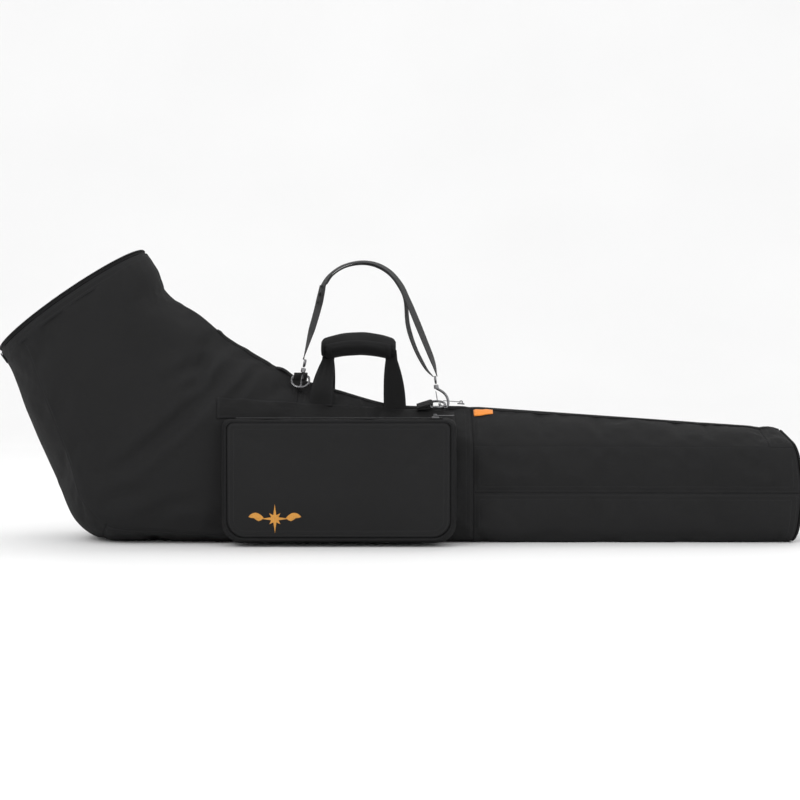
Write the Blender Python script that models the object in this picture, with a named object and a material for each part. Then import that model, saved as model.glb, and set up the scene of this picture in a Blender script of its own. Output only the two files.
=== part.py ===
"""A long soft padded carry case with an upturned round end, as separate sub-parts in their closed, standing positions.

Frame: metres, +Z up, the case lies along X with its front to -Y, and rests on the plane Z = 0.
"""

import math

import bmesh
import bpy
from mathutils import Matrix, Vector
from mathutils.bvhtree import BVHTree

# Cloth walls and seams
PADDING = 0.010
SEAM_GAP = 0.0006
LAYER_GAP = 0.0004
TAPE_GAP = 0.0012

# Round mouth of the upturned end
MOUTH_CENTRE = Vector((-0.5545, 0, 0.400))
MOUTH_RADIUS = 0.1475
MOUTH_TILT = math.radians(35.2)
MOUTH_BAND = 0.020

# Tube section
NECK_SEAM_X = 0.1215
COLLAR_X = 0.612
END_X = 0.652
END_LEAN = -0.0055
END_BULGE = 0.0145
END_PANEL = 0.008
TUBE_HALF_WIDTH = 0.095
EAVE_Z = 0.163
RIDGE_Z = 0.2233
RIDGE_FALL = 0.0705
ROOF_RUN = 0.1
TUBE_STOPS = (0.204, 0.340, 0.510)
ROOF_EDGE_GAP = 0.0035

# Fold radii of the padded cloth, and where the seam along the tube's side runs
RIDGE_RADIUS = 0.030
EAVE_RADIUS = 0.028
CORNER_RADIUS = 0.026
SIDE_SEAM = 1.50

# Lid
LID_INSET = 0.002
LID_SKIRT = 0.008
LID_CROWN = 0.018
LID_CLOTH = 0.004
LID_BOARD = 0.003
LID_LINING = 0.003
LID_HINGE_OUT = 0.006
LID_HINGE_WIDTH = 0.080
PIPING_RADIUS = 0.0026

# Webbing and zips
WEB_WIDTH = 0.038
WEB_THICKNESS = 0.0018
STRAP_WIDTH = 0.025
STRAP_THICKNESS = 0.0016
ZIP_HALF_WIDTH = 0.010
ZIP_THICKNESS = 0.0014
SLIDER_SIZE = Vector((0.012, 0.009, 0.0024))
PULLER_SIZE = Vector((0.030, 0.006, 0.0012))

# Front pocket
POCKET_LEFT = -0.291
POCKET_RIGHT = 0.092
POCKET_BOTTOM = 0.006
POCKET_TOP = 0.207
POCKET_FRONT_Y = -0.152
POCKET_PANEL = 0.005
POCKET_WALL = 0.003
POCKET_INSET = 0.010
POCKET_RADIUS = 0.030

# Carry handle
HANDLE_LEFT_X = -0.133
HANDLE_RIGHT_X = -0.0085
HANDLE_AXIS_Z = 0.240
LEG_REACH = 0.0505
LEFT_LEG_LEAN = 0.010
RIGHT_LEG_LEAN = -0.006
LEG_WIDE = 0.0175
LEG_NARROW = 0.0105
GRIP_LEFT = -0.134
GRIP_RIGHT = -0.007
GRIP_Z = 0.3328
GRIP_DROP = 0.010
GRIP_WIDTH = 0.049
GRIP_HEIGHT = 0.0320
GRIP_CHANNEL = 0.0066
GRIP_SWELL = 0.0020
FLAP_THICKNESS = 0.0022

# Shoulder strap hardware
WIRE_RADIUS = 0.0024
GATE_RADIUS = 0.0010
RING_LENGTH = 0.025
RING_WIDTH = 0.030
LEFT_CLIP = Vector((-0.1685, -0.036, 0.2575))
RIGHT_CLIP = Vector((0.0765, -0.022, 0.2285))
LEFT_RING_DOWN = Vector((0, -0.6, -0.8))
HOOK_RISE = 0.027
BARREL_RADIUS = 0.0042
BARREL_LENGTH = 0.0065
EYE_HEIGHT = 0.0105
EYE_CLEARANCE = 0.003
EYE_TAPER = 0.72
EYE_CORNER = 0.0032
EYE_WIRE = 0.0019
ADJUSTER_SIZE = Vector((0.030, STRAP_WIDTH * 1.28, 0.0024))
ADJUSTER_SLOT = STRAP_WIDTH * 0.535

# Edges, seams, zips, bands and other details
ROUND_TURNS = (0, 58, 128, 180)
EDGE = 0.004  # half a seam's gap, counted around a section
RIDGE_EDGE = 0.012
ZIP_LOW = 0.004
ZIP_HIGH = 0.013
PULLER_LIFT = 0.0012
LUG_WIRE = 0.0007
LUG_FRONT = 0.0026
LUG_BACK = -0.0026
EYE_BAR_X = 0.0010
EYE_BAR = 0.0006
BAND_LEFT, BAND_RIGHT = -0.300, 0.092
BAND_LEFT_Z, BAND_RIGHT_Z = 0.226, 0.2060
BAND_GAP = 0.0032
BAND_COLUMNS = 24
MAIN_ZIP_START = 0.104
LID_ZIP_TURN = math.radians(150)
POCKET_BAND_CLEAR = 0.0115
POCKET_BACK_CLEAR = TUBE_HALF_WIDTH * 0.063
POCKET_ZIP_LEFT, POCKET_ZIP_RIGHT = -0.268, 0.070
POCKET_ZIP_Y = POCKET_FRONT_Y + 0.024
ORNAMENT_X, ORNAMENT_Z = -0.203, 0.047
ORNAMENT_THICKNESS = 0.0008
FLAP_TURNS = tuple(math.radians(a) for a in (168, 190, 212, 234, 256, 276))
LEFT_LATERAL = Vector((0, 1, 0))
RIGHT_LATERAL = Vector((1, 0, 0))
LEFT_UP = Vector((0.20, 0, 0.98)).normalized()
RIGHT_UP = Vector((-0.12, 0, 0.99)).normalized()
RIGHT_RING_ALONG = Vector((1, 0, 0))
RIGHT_RING_ACROSS = Vector((0, math.cos(math.radians(18)), math.sin(math.radians(18))))
LEFT_RING_ACROSS = Vector((1, 0, 0))
STRAP_TURN = 12
# The strap's route as it stands up, seen from the front: X and Z of its middle line.
STRAP_LEG = ((-0.1510, 0.345), (-0.1395, 0.385), (-0.1320, 0.4150))
STRAP_ARCH = ((-0.1270, 0.4330), (-0.1150, 0.4495), (-0.0935, 0.4632), (-0.0660, 0.4690), (-0.0400, 0.4655),
              (-0.0165, 0.4520), (0.0015, 0.4300), (0.0125, 0.4060))
STRAP_OUTER = ((0.0215, 0.3850), (0.0400, 0.3400), (0.0560, 0.3000))
STRAP_INNER = ((0.0135, 0.3620), (0.0255, 0.3240), (0.0430, 0.2905))

UP = Vector((0, 0, 1))
ACROSS = Vector((math.cos(MOUTH_TILT), 0, math.sin(MOUTH_TILT)))
OUTWARD = Vector((-math.sin(MOUTH_TILT), 0, math.cos(MOUTH_TILT)))

CLOTH = ((0.018, 0.018, 0.019, 1), 0.86, 0.0)
TRIM = ((0.012, 0.012, 0.013, 1), 0.70, 0.0)
WEBBING = ((0.020, 0.020, 0.021, 1), 0.80, 0.0)
LINING = ((0.045, 0.045, 0.048, 1), 0.90, 0.0)
ZIP = ((0.010, 0.010, 0.011, 1), 0.45, 0.0)
METAL = ((0.46, 0.46, 0.48, 1), 0.28, 1.0)
PLASTIC = ((0.012, 0.012, 0.012, 1), 0.40, 0.0)
GOLD = ((0.72, 0.33, 0.045, 1), 0.50, 0.0)
ORANGE = ((0.95, 0.36, 0.02, 1), 0.70, 0.0)


def clear_scene():
    for obj in list(bpy.data.objects):
        bpy.data.objects.remove(obj, do_unlink=True)


def material(name, look):
    color, roughness, metallic = look
    made = bpy.data.materials.new(name)
    made.use_nodes = True
    shader = made.node_tree.nodes["Principled BSDF"]
    shader.inputs["Base Color"].default_value = color
    shader.inputs["Roughness"].default_value = roughness
    shader.inputs["Metallic"].default_value = metallic
    return made


def add_object(name, mesh, look, parent=None):
    obj = bpy.data.objects.new(name, mesh)
    bpy.context.scene.collection.objects.link(obj)
    mesh.materials.append(material(name, look))
    if parent:
        obj.parent = parent
    return obj


def solid(name, points, faces, look, origin=None, smooth=True):
    """A mesh object whose origin is at origin, with its faces turned outwards."""
    assert max(i for face in faces for i in face) < len(points), name
    origin = Vector(origin) if origin else Vector()
    mesh = bpy.data.meshes.new(name)
    mesh.from_pydata([Vector(p) - origin for p in points], [], faces)
    work = bmesh.new()
    work.from_mesh(mesh)
    bmesh.ops.remove_doubles(work, verts=work.verts, dist=1e-6)
    bmesh.ops.recalc_face_normals(work, faces=work.faces)
    work.to_mesh(mesh)
    work.free()
    if smooth:
        mesh.shade_smooth()
        mesh.set_sharp_from_angle(angle=math.radians(35))
    obj = add_object(name, mesh, look)
    obj.location = origin
    return obj


def loft(name, loops, look, origin=None, closed=False, smooth=True):
    """A solid through loops of equally many points; closed joins the last loop to the first, else the ends are capped."""
    count = len(loops[0])
    points = [p for loop in loops for p in loop]
    faces = []
    for row in range(len(loops) if closed else len(loops) - 1):
        here = row * count
        there = (row + 1) % len(loops) * count
        for i in range(count):
            j = (i + 1) % count
            faces.append((here + i, here + j, there + j, there + i))
    if not closed:
        faces.append(tuple(range(count)))
        faces.append(tuple(range(len(points) - count, len(points))))
    return solid(name, points, faces, look, origin, smooth)


def slab(name, outer, inner, look, origin=None, ring=False):
    """A padded panel between two grids of points; ring closes each row on itself."""
    rows = len(outer)
    columns = len(outer[0])
    points = [p for grid in (outer, inner) for row in grid for p in row]
    offset = rows * columns
    faces = []
    across = range(columns if ring else columns - 1)
    for r in range(rows - 1):
        for c in across:
            d = (c + 1) % columns
            quad = (r * columns + c, r * columns + d, (r + 1) * columns + d, (r + 1) * columns + c)
            faces.append(quad)
            faces.append(tuple(offset + i for i in reversed(quad)))
    for r in (0, rows - 1):
        for c in across:
            a = r * columns + c
            b = r * columns + (c + 1) % columns
            faces.append((a, b, offset + b, offset + a))
    if not ring:
        for r in range(rows - 1):
            for c in (0, columns - 1):
                a = r * columns + c
                b = a + columns
                faces.append((a, b, offset + b, offset + a))
    return solid(name, points, faces, look, origin)


def ribbon(name, path, sides, thickness, look, origin=None):
    """A flat web along path; sides holds the half-width vector at each point."""
    loops = []
    for i, point in enumerate(path):
        ahead = path[min(i + 1, len(path) - 1)] - path[max(i - 1, 0)]
        half = sides[i]
        up = ahead.cross(half).normalized() * thickness / 2
        loops.append((point - half - up, point + half - up, point + half + up, point - half + up))
    return loft(name, loops, look, origin)


def wire(name, path, radius, look, origin=None, cyclic=False, sides=8):
    """A round wire along path."""
    count = len(path)
    loops = []
    across = None
    for i, point in enumerate(path):
        before = path[i - 1] if cyclic or i else point
        after = path[(i + 1) % count] if cyclic or i < count - 1 else point
        ahead = (after - before).normalized()
        if across is None:
            across = ahead.orthogonal()
        across = (across - ahead * across.dot(ahead)).normalized()
        other = ahead.cross(across)
        turns = [2 * math.pi * k / sides for k in range(sides)]
        loops.append([point + across * radius * math.cos(t) + other * radius * math.sin(t) for t in turns])
    return loft(name, loops, look, origin, closed=cyclic)


def union(base, other):
    """Joins other to base, and leaves other out of the part."""
    other.hide_render = True
    other.display_type = "WIRE"
    joined = base.modifiers.new(f"with {other.name}", "BOOLEAN")
    joined.operation = "UNION"
    joined.object = other


def smooth_path(points, steps):
    """A Catmull-Rom curve through the points, with steps spans between each two."""
    padded = [points[0] * 2 - points[1], *points, points[-1] * 2 - points[-2]]
    path = []
    for i in range(1, len(padded) - 2):
        a, b, c, d = padded[i - 1 : i + 3]
        for k in range(steps):
            t = k / steps
            path.append(
                0.5 * (2 * b + (c - a) * t + (2 * a - 5 * b + 4 * c - d) * t * t
                       + (3 * b - 3 * c + d - a) * t**3)
            )
    return path + [points[-1]]


def stations():
    """Top and bottom of each section in the side plane, its half width, its roundness (1 is a full round), its eave."""
    top = MOUTH_CENTRE + ACROSS * MOUTH_RADIUS
    bottom = MOUTH_CENTRE - ACROSS * MOUTH_RADIUS
    down = -OUTWARD * MOUTH_BAND
    rows = [
        (top.x, top.z, bottom.x, bottom.z, MOUTH_RADIUS, 1.0),
        (top.x + down.x, top.z + down.z, bottom.x + down.x, bottom.z + down.z, MOUTH_RADIUS, 1.0),
        (-0.403, 0.424, -0.629, 0.218, 0.1472, 0.95),
        (-0.374, 0.396, -0.578, 0.102, 0.143, 0.80),
        (-0.340, 0.373, -0.544, 0.027, 0.138, 0.60),
        (-0.309, 0.351, -0.5015, 0.0, 0.133, 0.45),
        (-0.2635, 0.323, -0.408, 0.0, 0.125, 0.30),
        (-0.2125, 0.294, -0.289, 0.0, 0.116, 0.15),
        (-0.170, 0.272, -0.187, 0.0, 0.108, 0.05),
        (-0.1105, 0.2533, -0.1105, 0.0, 0.102, 0.0),
        (-0.0255, 0.2295, -0.0255, 0.0, 0.098, 0.0),
    ]
    for x in (NECK_SEAM_X, *TUBE_STOPS, COLLAR_X):
        rows.append((x, ridge_z(x), x, 0.0, TUBE_HALF_WIDTH, 0.0))
    rows.append((END_X + END_LEAN, ridge_z(END_X), END_X, 0.0, TUBE_HALF_WIDTH, 0.0))
    return rows


def ridge_z(x):
    """The straight ridge of the tube section, which the long zip runs along."""
    return RIDGE_Z - RIDGE_FALL * (x - NECK_SEAM_X)


STATIONS = stations()
HEEL, NECK, SEAM, COLLAR, END = 5, 8, 11, 15, 16


def fold(corner, before, after, radius, steps=6):
    """Points of a round fold of the given radius at corner."""
    a = (before - corner).normalized()
    b = (after - corner).normalized()
    half = a.angle(b) / 2
    centre = corner + (a + b).normalized() * radius / math.sin(half)
    first = corner + a * radius / math.tan(half) - centre
    last = corner + b * radius / math.tan(half) - centre
    turn = first.angle(last)
    points = []
    for i in range(steps + 1):
        t = i / steps
        points.append(centre + (first * math.sin((1 - t) * turn) + last * math.sin(t * turn)) / math.sin(turn))
    return points


def spread(points, share):
    """The point at this share of the way along a polyline."""
    lengths = [(b - a).length for a, b in zip(points, points[1:])]
    left = share * sum(lengths)
    for i, length in enumerate(lengths):
        if left <= length or i == len(lengths) - 1:
            return points[i].lerp(points[i + 1], left / length)
        left -= length
    return points[-1]


def house_parts(width, height, eave):
    """Half of the roofed section as three runs, ridge to eave, eave to corner, corner to middle; y is outwards."""
    ridge = Vector((0, height))
    brow = Vector((width, eave))
    corner = Vector((width, 0))
    top = fold(ridge, Vector((-width, eave)), brow, RIDGE_RADIUS)
    top = top[len(top) // 2 :]
    drop = height - top[0].y
    top = [p + Vector((0, drop * (1 - i / (len(top) - 1)))) for i, p in enumerate(top)]
    bend = fold(brow, ridge, corner, EAVE_RADIUS)
    foot = fold(corner, brow, Vector((0, 0)), CORNER_RADIUS)
    middle = len(bend) // 2
    heel = len(foot) // 2
    return top + bend[: middle + 1], bend[middle:] + foot[: heel + 1], foot[heel:] + [Vector((0, 0))]


def section_point(row, around):
    """The (across, up) of a section at around: 0 ridge, 1 eave, 2 bottom corner, 3 middle of the bottom."""
    top_x, top_z, bottom_x, bottom_z, width, roundness = row
    height = math.hypot(top_x - bottom_x, top_z - bottom_z)
    run = min(int(around), 2)
    share = around - run
    turn = math.radians(ROUND_TURNS[run] + share * (ROUND_TURNS[run + 1] - ROUND_TURNS[run]))
    round_point = Vector((width * math.sin(turn), height * (1 + math.cos(turn)) / 2))
    if roundness >= 1:
        return round_point
    eave = EAVE_Z if top_x >= NECK_SEAM_X else height - min(0.29 * height, height - EAVE_Z)
    roofed = spread(house_parts(width, height, eave)[run], share)
    return roofed.lerp(round_point, roundness)


def skin(along, around, side):
    """A point on the outer surface; along counts stations, around as in section_point, side -1 is the front."""
    span = min(max(int(along), 0), len(STATIONS) - 2)
    share = along - span
    a, b = STATIONS[span], STATIONS[span + 1]
    near, far = section_point(a, around), section_point(b, around)
    flat = near.lerp(far, share)
    mixed = [p + (q - p) * share for p, q in zip(a, b)]
    low = Vector((mixed[2], 0, mixed[3]))
    rise = (Vector((mixed[0], 0, mixed[1])) - low)
    point = low + rise.normalized() * flat.y
    point.y = side * flat.x
    if along > COLLAR - 1:
        part = min(max((along - COLLAR + 1) / (END - COLLAR + 1), 0), 1.2)
        level = min(max(flat.y / rise.length, 0), 1)
        point.x += END_BULGE * part**3 * 4 * level * (1 - level)
    return point


def facing(along, around, side):
    """The outward direction of the surface there."""
    step = 0.04
    a0, a1 = max(along - 0.35, 0), min(along + 0.35, END)
    r0, r1 = max(around - step, 0.0), min(around + step, 3.0)
    one = skin(a1, around, side) - skin(a0, around, side)
    two = skin(along, r1, side) - skin(along, r0, side)
    normal = one.cross(two).normalized() * side
    if around in (0.0, 3.0):
        normal.y = 0
        normal.normalize()
    return normal


def offset(along, around, side, out):
    """A point out from the surface, kept on its own side of the case's middle plane."""
    base = skin(along, around, side)
    point = base + facing(along, around, side) * out
    point.y = side * max(side * point.y, min(side * base.y, SEAM_GAP / 2))
    return point


def shifted(along, metres):
    """The station count this far along the top of the case."""
    span = min(int(along + (1e-6 if metres > 0 else -1e-6)), len(STATIONS) - 2)
    a, b = STATIONS[span], STATIONS[span + 1]
    return along + metres / math.hypot(b[2] - a[2], b[3] - a[3])


def counts(first, last):
    """first, the whole stations between, and last."""
    return [first, *[i for i in range(math.ceil(first + 0.02), math.floor(last - 0.02) + 1)], last]


def arounds(first, last, steps):
    return [first + (last - first) * i / steps for i in range(steps + 1)]


def panel(name, along, stops, look=CLOTH, outs=(0.0, -PADDING), origin=None, ring=False):
    """A padded panel of the case; along lists stations, stops lists (around, side)."""
    grids = [[[offset(a, r, side, out) for r, side in stops] for a in along] for out in outs]
    return slab(name, grids[0], grids[1], look, origin, ring)


def half_stops(first, last, steps, side):
    return [(r, side) for r in arounds(first, last, steps)]


def through(first, steps):
    """Stops from first on the front, under the case, to first on the back."""
    front = half_stops(first, 3.0, steps, -1)
    return front + [(r, 1) for r, _ in reversed(front[:-1])]


def over(last, steps):
    """Stops from last on the front, over the ridge, to last on the back."""
    front = half_stops(last, 0.0, steps, -1)
    return front + [(r, 1) for r, _ in reversed(front[:-1])]


def build_bell_and_neck():
    gap = SEAM_GAP / 2
    neck_end = shifted(NECK, -gap)
    neck_start = shifted(NECK, gap)
    seam = shifted(SEAM, -gap)
    for word, side in (("front", -1), ("back", 1)):
        stops = half_stops(RIDGE_EDGE, 1, 4, side)[:-1] + half_stops(1, 2 - EDGE, 5, side)
        panel(f"bell_{word}_panel", counts(0, neck_end), stops)
        panel(f"neck_{word}_panel", counts(neck_start, seam), stops)
    panel("bell_under_panel", counts(0, shifted(HEEL, -gap)), through(2 + EDGE, 4))
    panel("neck_base_panel", counts(shifted(HEEL, gap), seam), through(2 + EDGE, 3))


def build_tube():
    gap = SEAM_GAP / 2
    start = shifted(SEAM, gap)
    lower = half_stops(SIDE_SEAM + EDGE, 2, 3, -1)[:-1] + half_stops(2, 3, 3, -1)
    lower = lower + [(r, 1) for r, _ in reversed(lower[:-1])]
    panel("tube_lower_panel", counts(start, END), lower)
    for word, side in (("front", -1), ("back", 1)):
        panel(f"tube_{word}_side_panel", counts(start, END), half_stops(1 + EDGE, SIDE_SEAM - EDGE, 3, side))
        hinge = roof_hinge(side)
        stops = half_stops(roof_edge(), 1 - EDGE, 5, side)
        panel(f"tube_{word}_roof_panel", counts(start, shifted(COLLAR, -SEAM_GAP)), stops, origin=hinge)
        build_roof_zip(word, side, hinge)
    panel("tube_roof_collar", counts(shifted(COLLAR, gap), END), over(1 - EDGE, 4))
    panel("collar_zip_tape", counts(shifted(COLLAR, gap), END), over(ZIP_HALF_WIDTH / ROOF_RUN, 1), ZIP,
          (TAPE_GAP + ZIP_THICKNESS, TAPE_GAP))
    build_tube_end()


def roof_edge():
    """Where the roof panels stop short of the ridge, counted around a section."""
    return ROOF_EDGE_GAP / ROOF_RUN


def roof_hinge(side):
    """A point on the fold line that a roof panel opens about."""
    return skin(SEAM, 1.0, side)


def build_roof_zip(word, side, hinge):
    edge = 0.0008 / ROOF_RUN
    stops = half_stops(edge, ZIP_HALF_WIDTH / ROOF_RUN, 2, side)
    along = counts(shifted(SEAM, SEAM_GAP), shifted(COLLAR, -SEAM_GAP))
    panel(f"tube_{word}_zip_tape", along, stops, ZIP, (TAPE_GAP + ZIP_THICKNESS, TAPE_GAP), hinge)


def end_loop(scale, out):
    """The section's outline at the tube's end, shrunk towards its middle, and moved out along X."""
    stops = half_stops(0, 1, 3, -1)[:-1] + half_stops(1, 2, 6, -1)[:-1] + half_stops(2, 3, 3, -1)
    stops = stops[:-1] + [(r, 1) for r, _ in reversed(stops)]
    rim = [skin(END, r, side) for r, side in stops[:-1]]
    middle = Vector((END_X + END_LEAN / 2 + END_BULGE, 0, EAVE_Z / 2))
    return [middle.lerp(p, scale) + Vector((out, 0, 0)) for p in rim]


def build_tube_end():
    near = 2 * SEAM_GAP
    far = near + END_PANEL
    loops = [end_loop(s, near) for s in (0.1, 0.6, 0.915)] + [end_loop(s, far) for s in (0.915, 0.6, 0.1)]
    loft("tube_end_panel", loops, CLOTH)
    wire("tube_end_piping", end_loop(0.96, near + PIPING_RADIUS), PIPING_RADIUS, TRIM, cyclic=True, sides=6)


def round_loop(radius, height, segments=48):
    """A circle about the mouth's axis, height above the mouth's plane."""
    turns = [2 * math.pi * i / segments for i in range(segments)]
    return [
        MOUTH_CENTRE + OUTWARD * height + ACROSS * radius * math.cos(t) + Vector((0, radius * math.sin(t), 0))
        for t in turns
    ]


def dome(radius, low, high):
    """Loops of a shallow dome that rises from low at radius to high in the middle."""
    return [
        round_loop(radius * share, low + (high - low) * (1 - share**2.2))
        for share in (1.0, 0.93, 0.8, 0.6, 0.35, 0.06)
    ]


def lid_hinge_point():
    return MOUTH_CENTRE - ACROSS * (MOUTH_RADIUS + LID_HINGE_OUT)


def build_lid():
    hinge = lid_hinge_point()
    outer = MOUTH_RADIUS - LID_INSET
    inner = outer - LID_CLOTH
    plug = inner - LAYER_GAP
    low = SEAM_GAP
    outside = [round_loop(outer, low)] + dome(outer, LID_SKIRT, LID_CROWN)
    inside = list(reversed(dome(inner, LID_SKIRT - 0.001, LID_CROWN - LID_CLOTH))) + [round_loop(inner, low)]
    points = outside + inside
    loft_open_shell("lid_panel", points, hinge)
    level = low
    loft("lid_lining", [round_loop(plug, level), round_loop(plug, level + LID_LINING)], LINING, hinge)
    level += LID_LINING + LAYER_GAP
    foam_radius = plug - 0.010
    board_top = level + LID_BOARD - 0.001
    loft("lid_board", [round_loop(plug, level), round_loop(plug, board_top)], PLASTIC, hinge)
    foam_low = board_top + LAYER_GAP
    foam_high = LID_CROWN - LID_CLOTH - LAYER_GAP - 0.0006
    foam = [round_loop(foam_radius, foam_low)] + dome(foam_radius, foam_low + 0.0012, foam_high)
    loft("lid_padding", foam, LINING, hinge)
    ring = round_loop(outer + PIPING_RADIUS + LAYER_GAP, LID_SKIRT - 0.001)
    wire("lid_piping", ring, PIPING_RADIUS, TRIM, hinge, cyclic=True, sides=6)


def loft_open_shell(name, loops, origin):
    """A dome with a skirt and an open underside: the two crowns stay apart, and the skirt's edge joins them."""
    count = len(loops[0])
    points = [p for loop in loops for p in loop]
    faces = []
    crown = len(loops) // 2
    for row in range(len(loops)):
        if row == crown - 1:
            continue
        here = row * count
        there = (row + 1) % len(loops) * count
        for i in range(count):
            j = (i + 1) % count
            faces.append((here + i, here + j, there + j, there + i))
    faces.append(tuple(range((crown - 1) * count, crown * count)))
    faces.append(tuple(range(crown * count, (crown + 1) * count)))
    return solid(name, points, faces, CLOTH, origin)


def build_mouth_zip():
    inner = MOUTH_RADIUS + LAYER_GAP
    outer = inner + ZIP_THICKNESS
    loops = [round_loop(r, h) for r, h in
             ((inner, -ZIP_LOW), (outer, -ZIP_LOW), (outer, -ZIP_HIGH), (inner, -ZIP_HIGH))]
    loft("mouth_zip_band", loops, ZIP, closed=True)
    web = MOUTH_RADIUS + LID_HINGE_OUT
    turns = [math.pi + LID_HINGE_WIDTH / MOUTH_RADIUS * (i / 6 - 0.5) for i in range(7)]
    grids = []
    for radius in (outer + LAYER_GAP + WEB_THICKNESS, outer + LAYER_GAP):
        grids.append([[mouth_point(radius, t, h) for t in turns] for h in (-0.019, -0.010, -0.0012)])
    slab("lid_hinge_web", grids[0], grids[1], WEBBING, MOUTH_CENTRE - ACROSS * web)


def mouth_point(radius, turn, height):
    return (MOUTH_CENTRE + OUTWARD * height + ACROSS * radius * math.cos(turn)
            + Vector((0, radius * math.sin(turn), 0)))


def place(frame, x, y, z):
    """A point from a frame of (origin, forwards, sideways, up)."""
    origin, forwards, sideways, up = frame
    return origin + forwards * x + sideways * y + up * z


def block(name, frame, low, high, look, origin=None, chamfer=0.0):
    """A box between two corners of the frame, its upper edges drawn in by chamfer."""
    loops = []
    levels = [(low[2], 0), (high[2] - chamfer, 0), (high[2], chamfer)] if chamfer else [(low[2], 0), (high[2], 0)]
    for z, draw in levels:
        loops.append([place(frame, x, y, z) for x, y in (
            (low[0] + draw, low[1] + draw), (high[0] - draw, low[1] + draw),
            (high[0] - draw, high[1] - draw), (low[0] + draw, high[1] - draw))])
    return loft(name, loops, look, origin, smooth=False)


def zip_slider(name, frame, origin=None):
    """A slider's body with the arch that its puller hangs on; returns the puller's axis point."""
    long, wide, high = SLIDER_SIZE
    body = block(name, frame, (-long / 2, -wide / 2, 0), (long / 2, wide / 2, high), METAL, origin, 0.0007)
    rise = PULLER_LIFT + PULLER_SIZE.z + 0.0014
    arch = [place(frame, x, 0, z) for x, z in (
        (LUG_BACK, high - 0.0006), (LUG_BACK, high + rise * 0.7), (LUG_BACK / 2, high + rise),
        (LUG_FRONT / 2, high + rise), (LUG_FRONT, high + rise * 0.7), (LUG_FRONT, high - 0.0006))]
    union(body, wire(f"{name}_arch", arch, LUG_WIRE, METAL, origin, sides=4))
    return place(frame, EYE_BAR_X, 0, high + PULLER_LIFT + PULLER_SIZE.z / 2)


def zip_puller(name, frame, axis_point):
    """A flat tab whose eye goes round the slider's arch, lying back along the zip."""
    long, wide, thick = PULLER_SIZE
    own = (axis_point, *frame[1:])
    outline = [(EYE_BAR, -wide / 2), (EYE_BAR, wide / 2), (-long, wide / 2), (-long - 0.002, 0), (-long, -wide / 2)]
    loops = [[place(own, x, y, z) for x, y in outline] for z in (-thick / 2, thick / 2)]
    tab = loft(name, loops, METAL, axis_point, smooth=False)
    eye_end = LUG_BACK - EYE_BAR_X - LUG_WIRE - 0.0012
    hole = block(f"{name}_eye", own, (eye_end, -0.0018, -thick), (-EYE_BAR, 0.0018, thick), METAL)
    cut(tab, hole)


def cut(base, cutter):
    cutter.hide_render = True
    cutter.display_type = "WIRE"
    made = base.modifiers.new(f"less {cutter.name}", "BOOLEAN")
    made.operation = "DIFFERENCE"
    made.object = cutter


def case_trees():
    """The outer faces of the bell and neck panels, to lay trim on, by side."""
    trees = {}
    for word, side in (("front", -1), ("back", 1)):
        points, faces = [], []
        for name in (f"bell_{word}_panel", f"neck_{word}_panel", "bell_under_panel", "neck_base_panel"):
            obj = bpy.data.objects[name]
            start = len(points)
            points += [v.co + obj.location for v in obj.data.vertices]
            faces += [[start + i for i in poly.vertices] for poly in obj.data.polygons]
        trees[side] = BVHTree.FromPolygons(points, faces)
    return trees


def ground(trees, side, x, z):
    """The point of the case's side at x and z, and the direction the cloth faces there."""
    hit, normal, _, _ = trees[side].ray_cast(Vector((x, side * 0.4, z)), Vector((0, -side, 0)))
    return hit, normal


def band_row(trees, side, x):
    """Points across the web band at x, top to bottom, on the cloth, each with the direction out of it."""
    share = (x - BAND_LEFT) / (BAND_RIGHT - BAND_LEFT)
    middle, normal = ground(trees, side, x, BAND_LEFT_Z + (BAND_RIGHT_Z - BAND_LEFT_Z) * share)
    down = Vector((1, 0, 0)).cross(normal).normalized() * -side
    if down.z > 0:
        down = -down
    row = []
    for i in range(5):
        start = middle + down * WEB_WIDTH * (i / 4 - 0.5) + normal * 0.04
        hit = trees[side].ray_cast(start, -normal)[0]
        row.append((hit, normal))
    return row


def build_bands(trees):
    for word, side in (("front", -1), ("back", 1)):
        spots = [BAND_LEFT + (BAND_RIGHT - BAND_LEFT) * i / BAND_COLUMNS for i in range(BAND_COLUMNS + 1)]
        rows = [band_row(trees, side, x) for x in spots]
        grids = [[[p + n * out for p, n in row] for row in rows] for out in (BAND_GAP + WEB_THICKNESS, BAND_GAP)]
        slab(f"{word}_web_band", grids[0], grids[1], WEBBING)


def build_ridge_zips():
    panel("ridge_zip_tape", counts(1.6, shifted(SEAM, -SEAM_GAP)), over(ZIP_HALF_WIDTH / ROOF_RUN, 1), ZIP,
          (TAPE_GAP + ZIP_THICKNESS, TAPE_GAP))
    lift = TAPE_GAP + LAYER_GAP + ZIP_THICKNESS
    start = Vector((MAIN_ZIP_START, 0, ridge_z(MAIN_ZIP_START) + lift))
    along = Vector((1, 0, -RIDGE_FALL)).normalized()
    frame = (start, along, Vector((0, 1, 0)), along.cross(Vector((0, 1, 0))))
    axis = zip_slider("main_zip_slider", frame, start)
    zip_puller("main_zip_puller", frame, axis)


def build_lid_zip():
    """The slider parked at the back of the hinge, its long side along the zip."""
    radius = MOUTH_RADIUS + 2 * LAYER_GAP + ZIP_THICKNESS + 0.0003
    middle = (ZIP_LOW + ZIP_HIGH) / 2
    start = mouth_point(radius, LID_ZIP_TURN, -middle)
    out = (start - mouth_point(0, 0, -middle)).normalized()
    along = out.cross(OUTWARD)
    frame = (start, along, out.cross(along), out)
    axis = zip_slider("lid_zip_slider", frame, start)
    zip_puller("lid_zip_puller", frame, axis)


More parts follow.
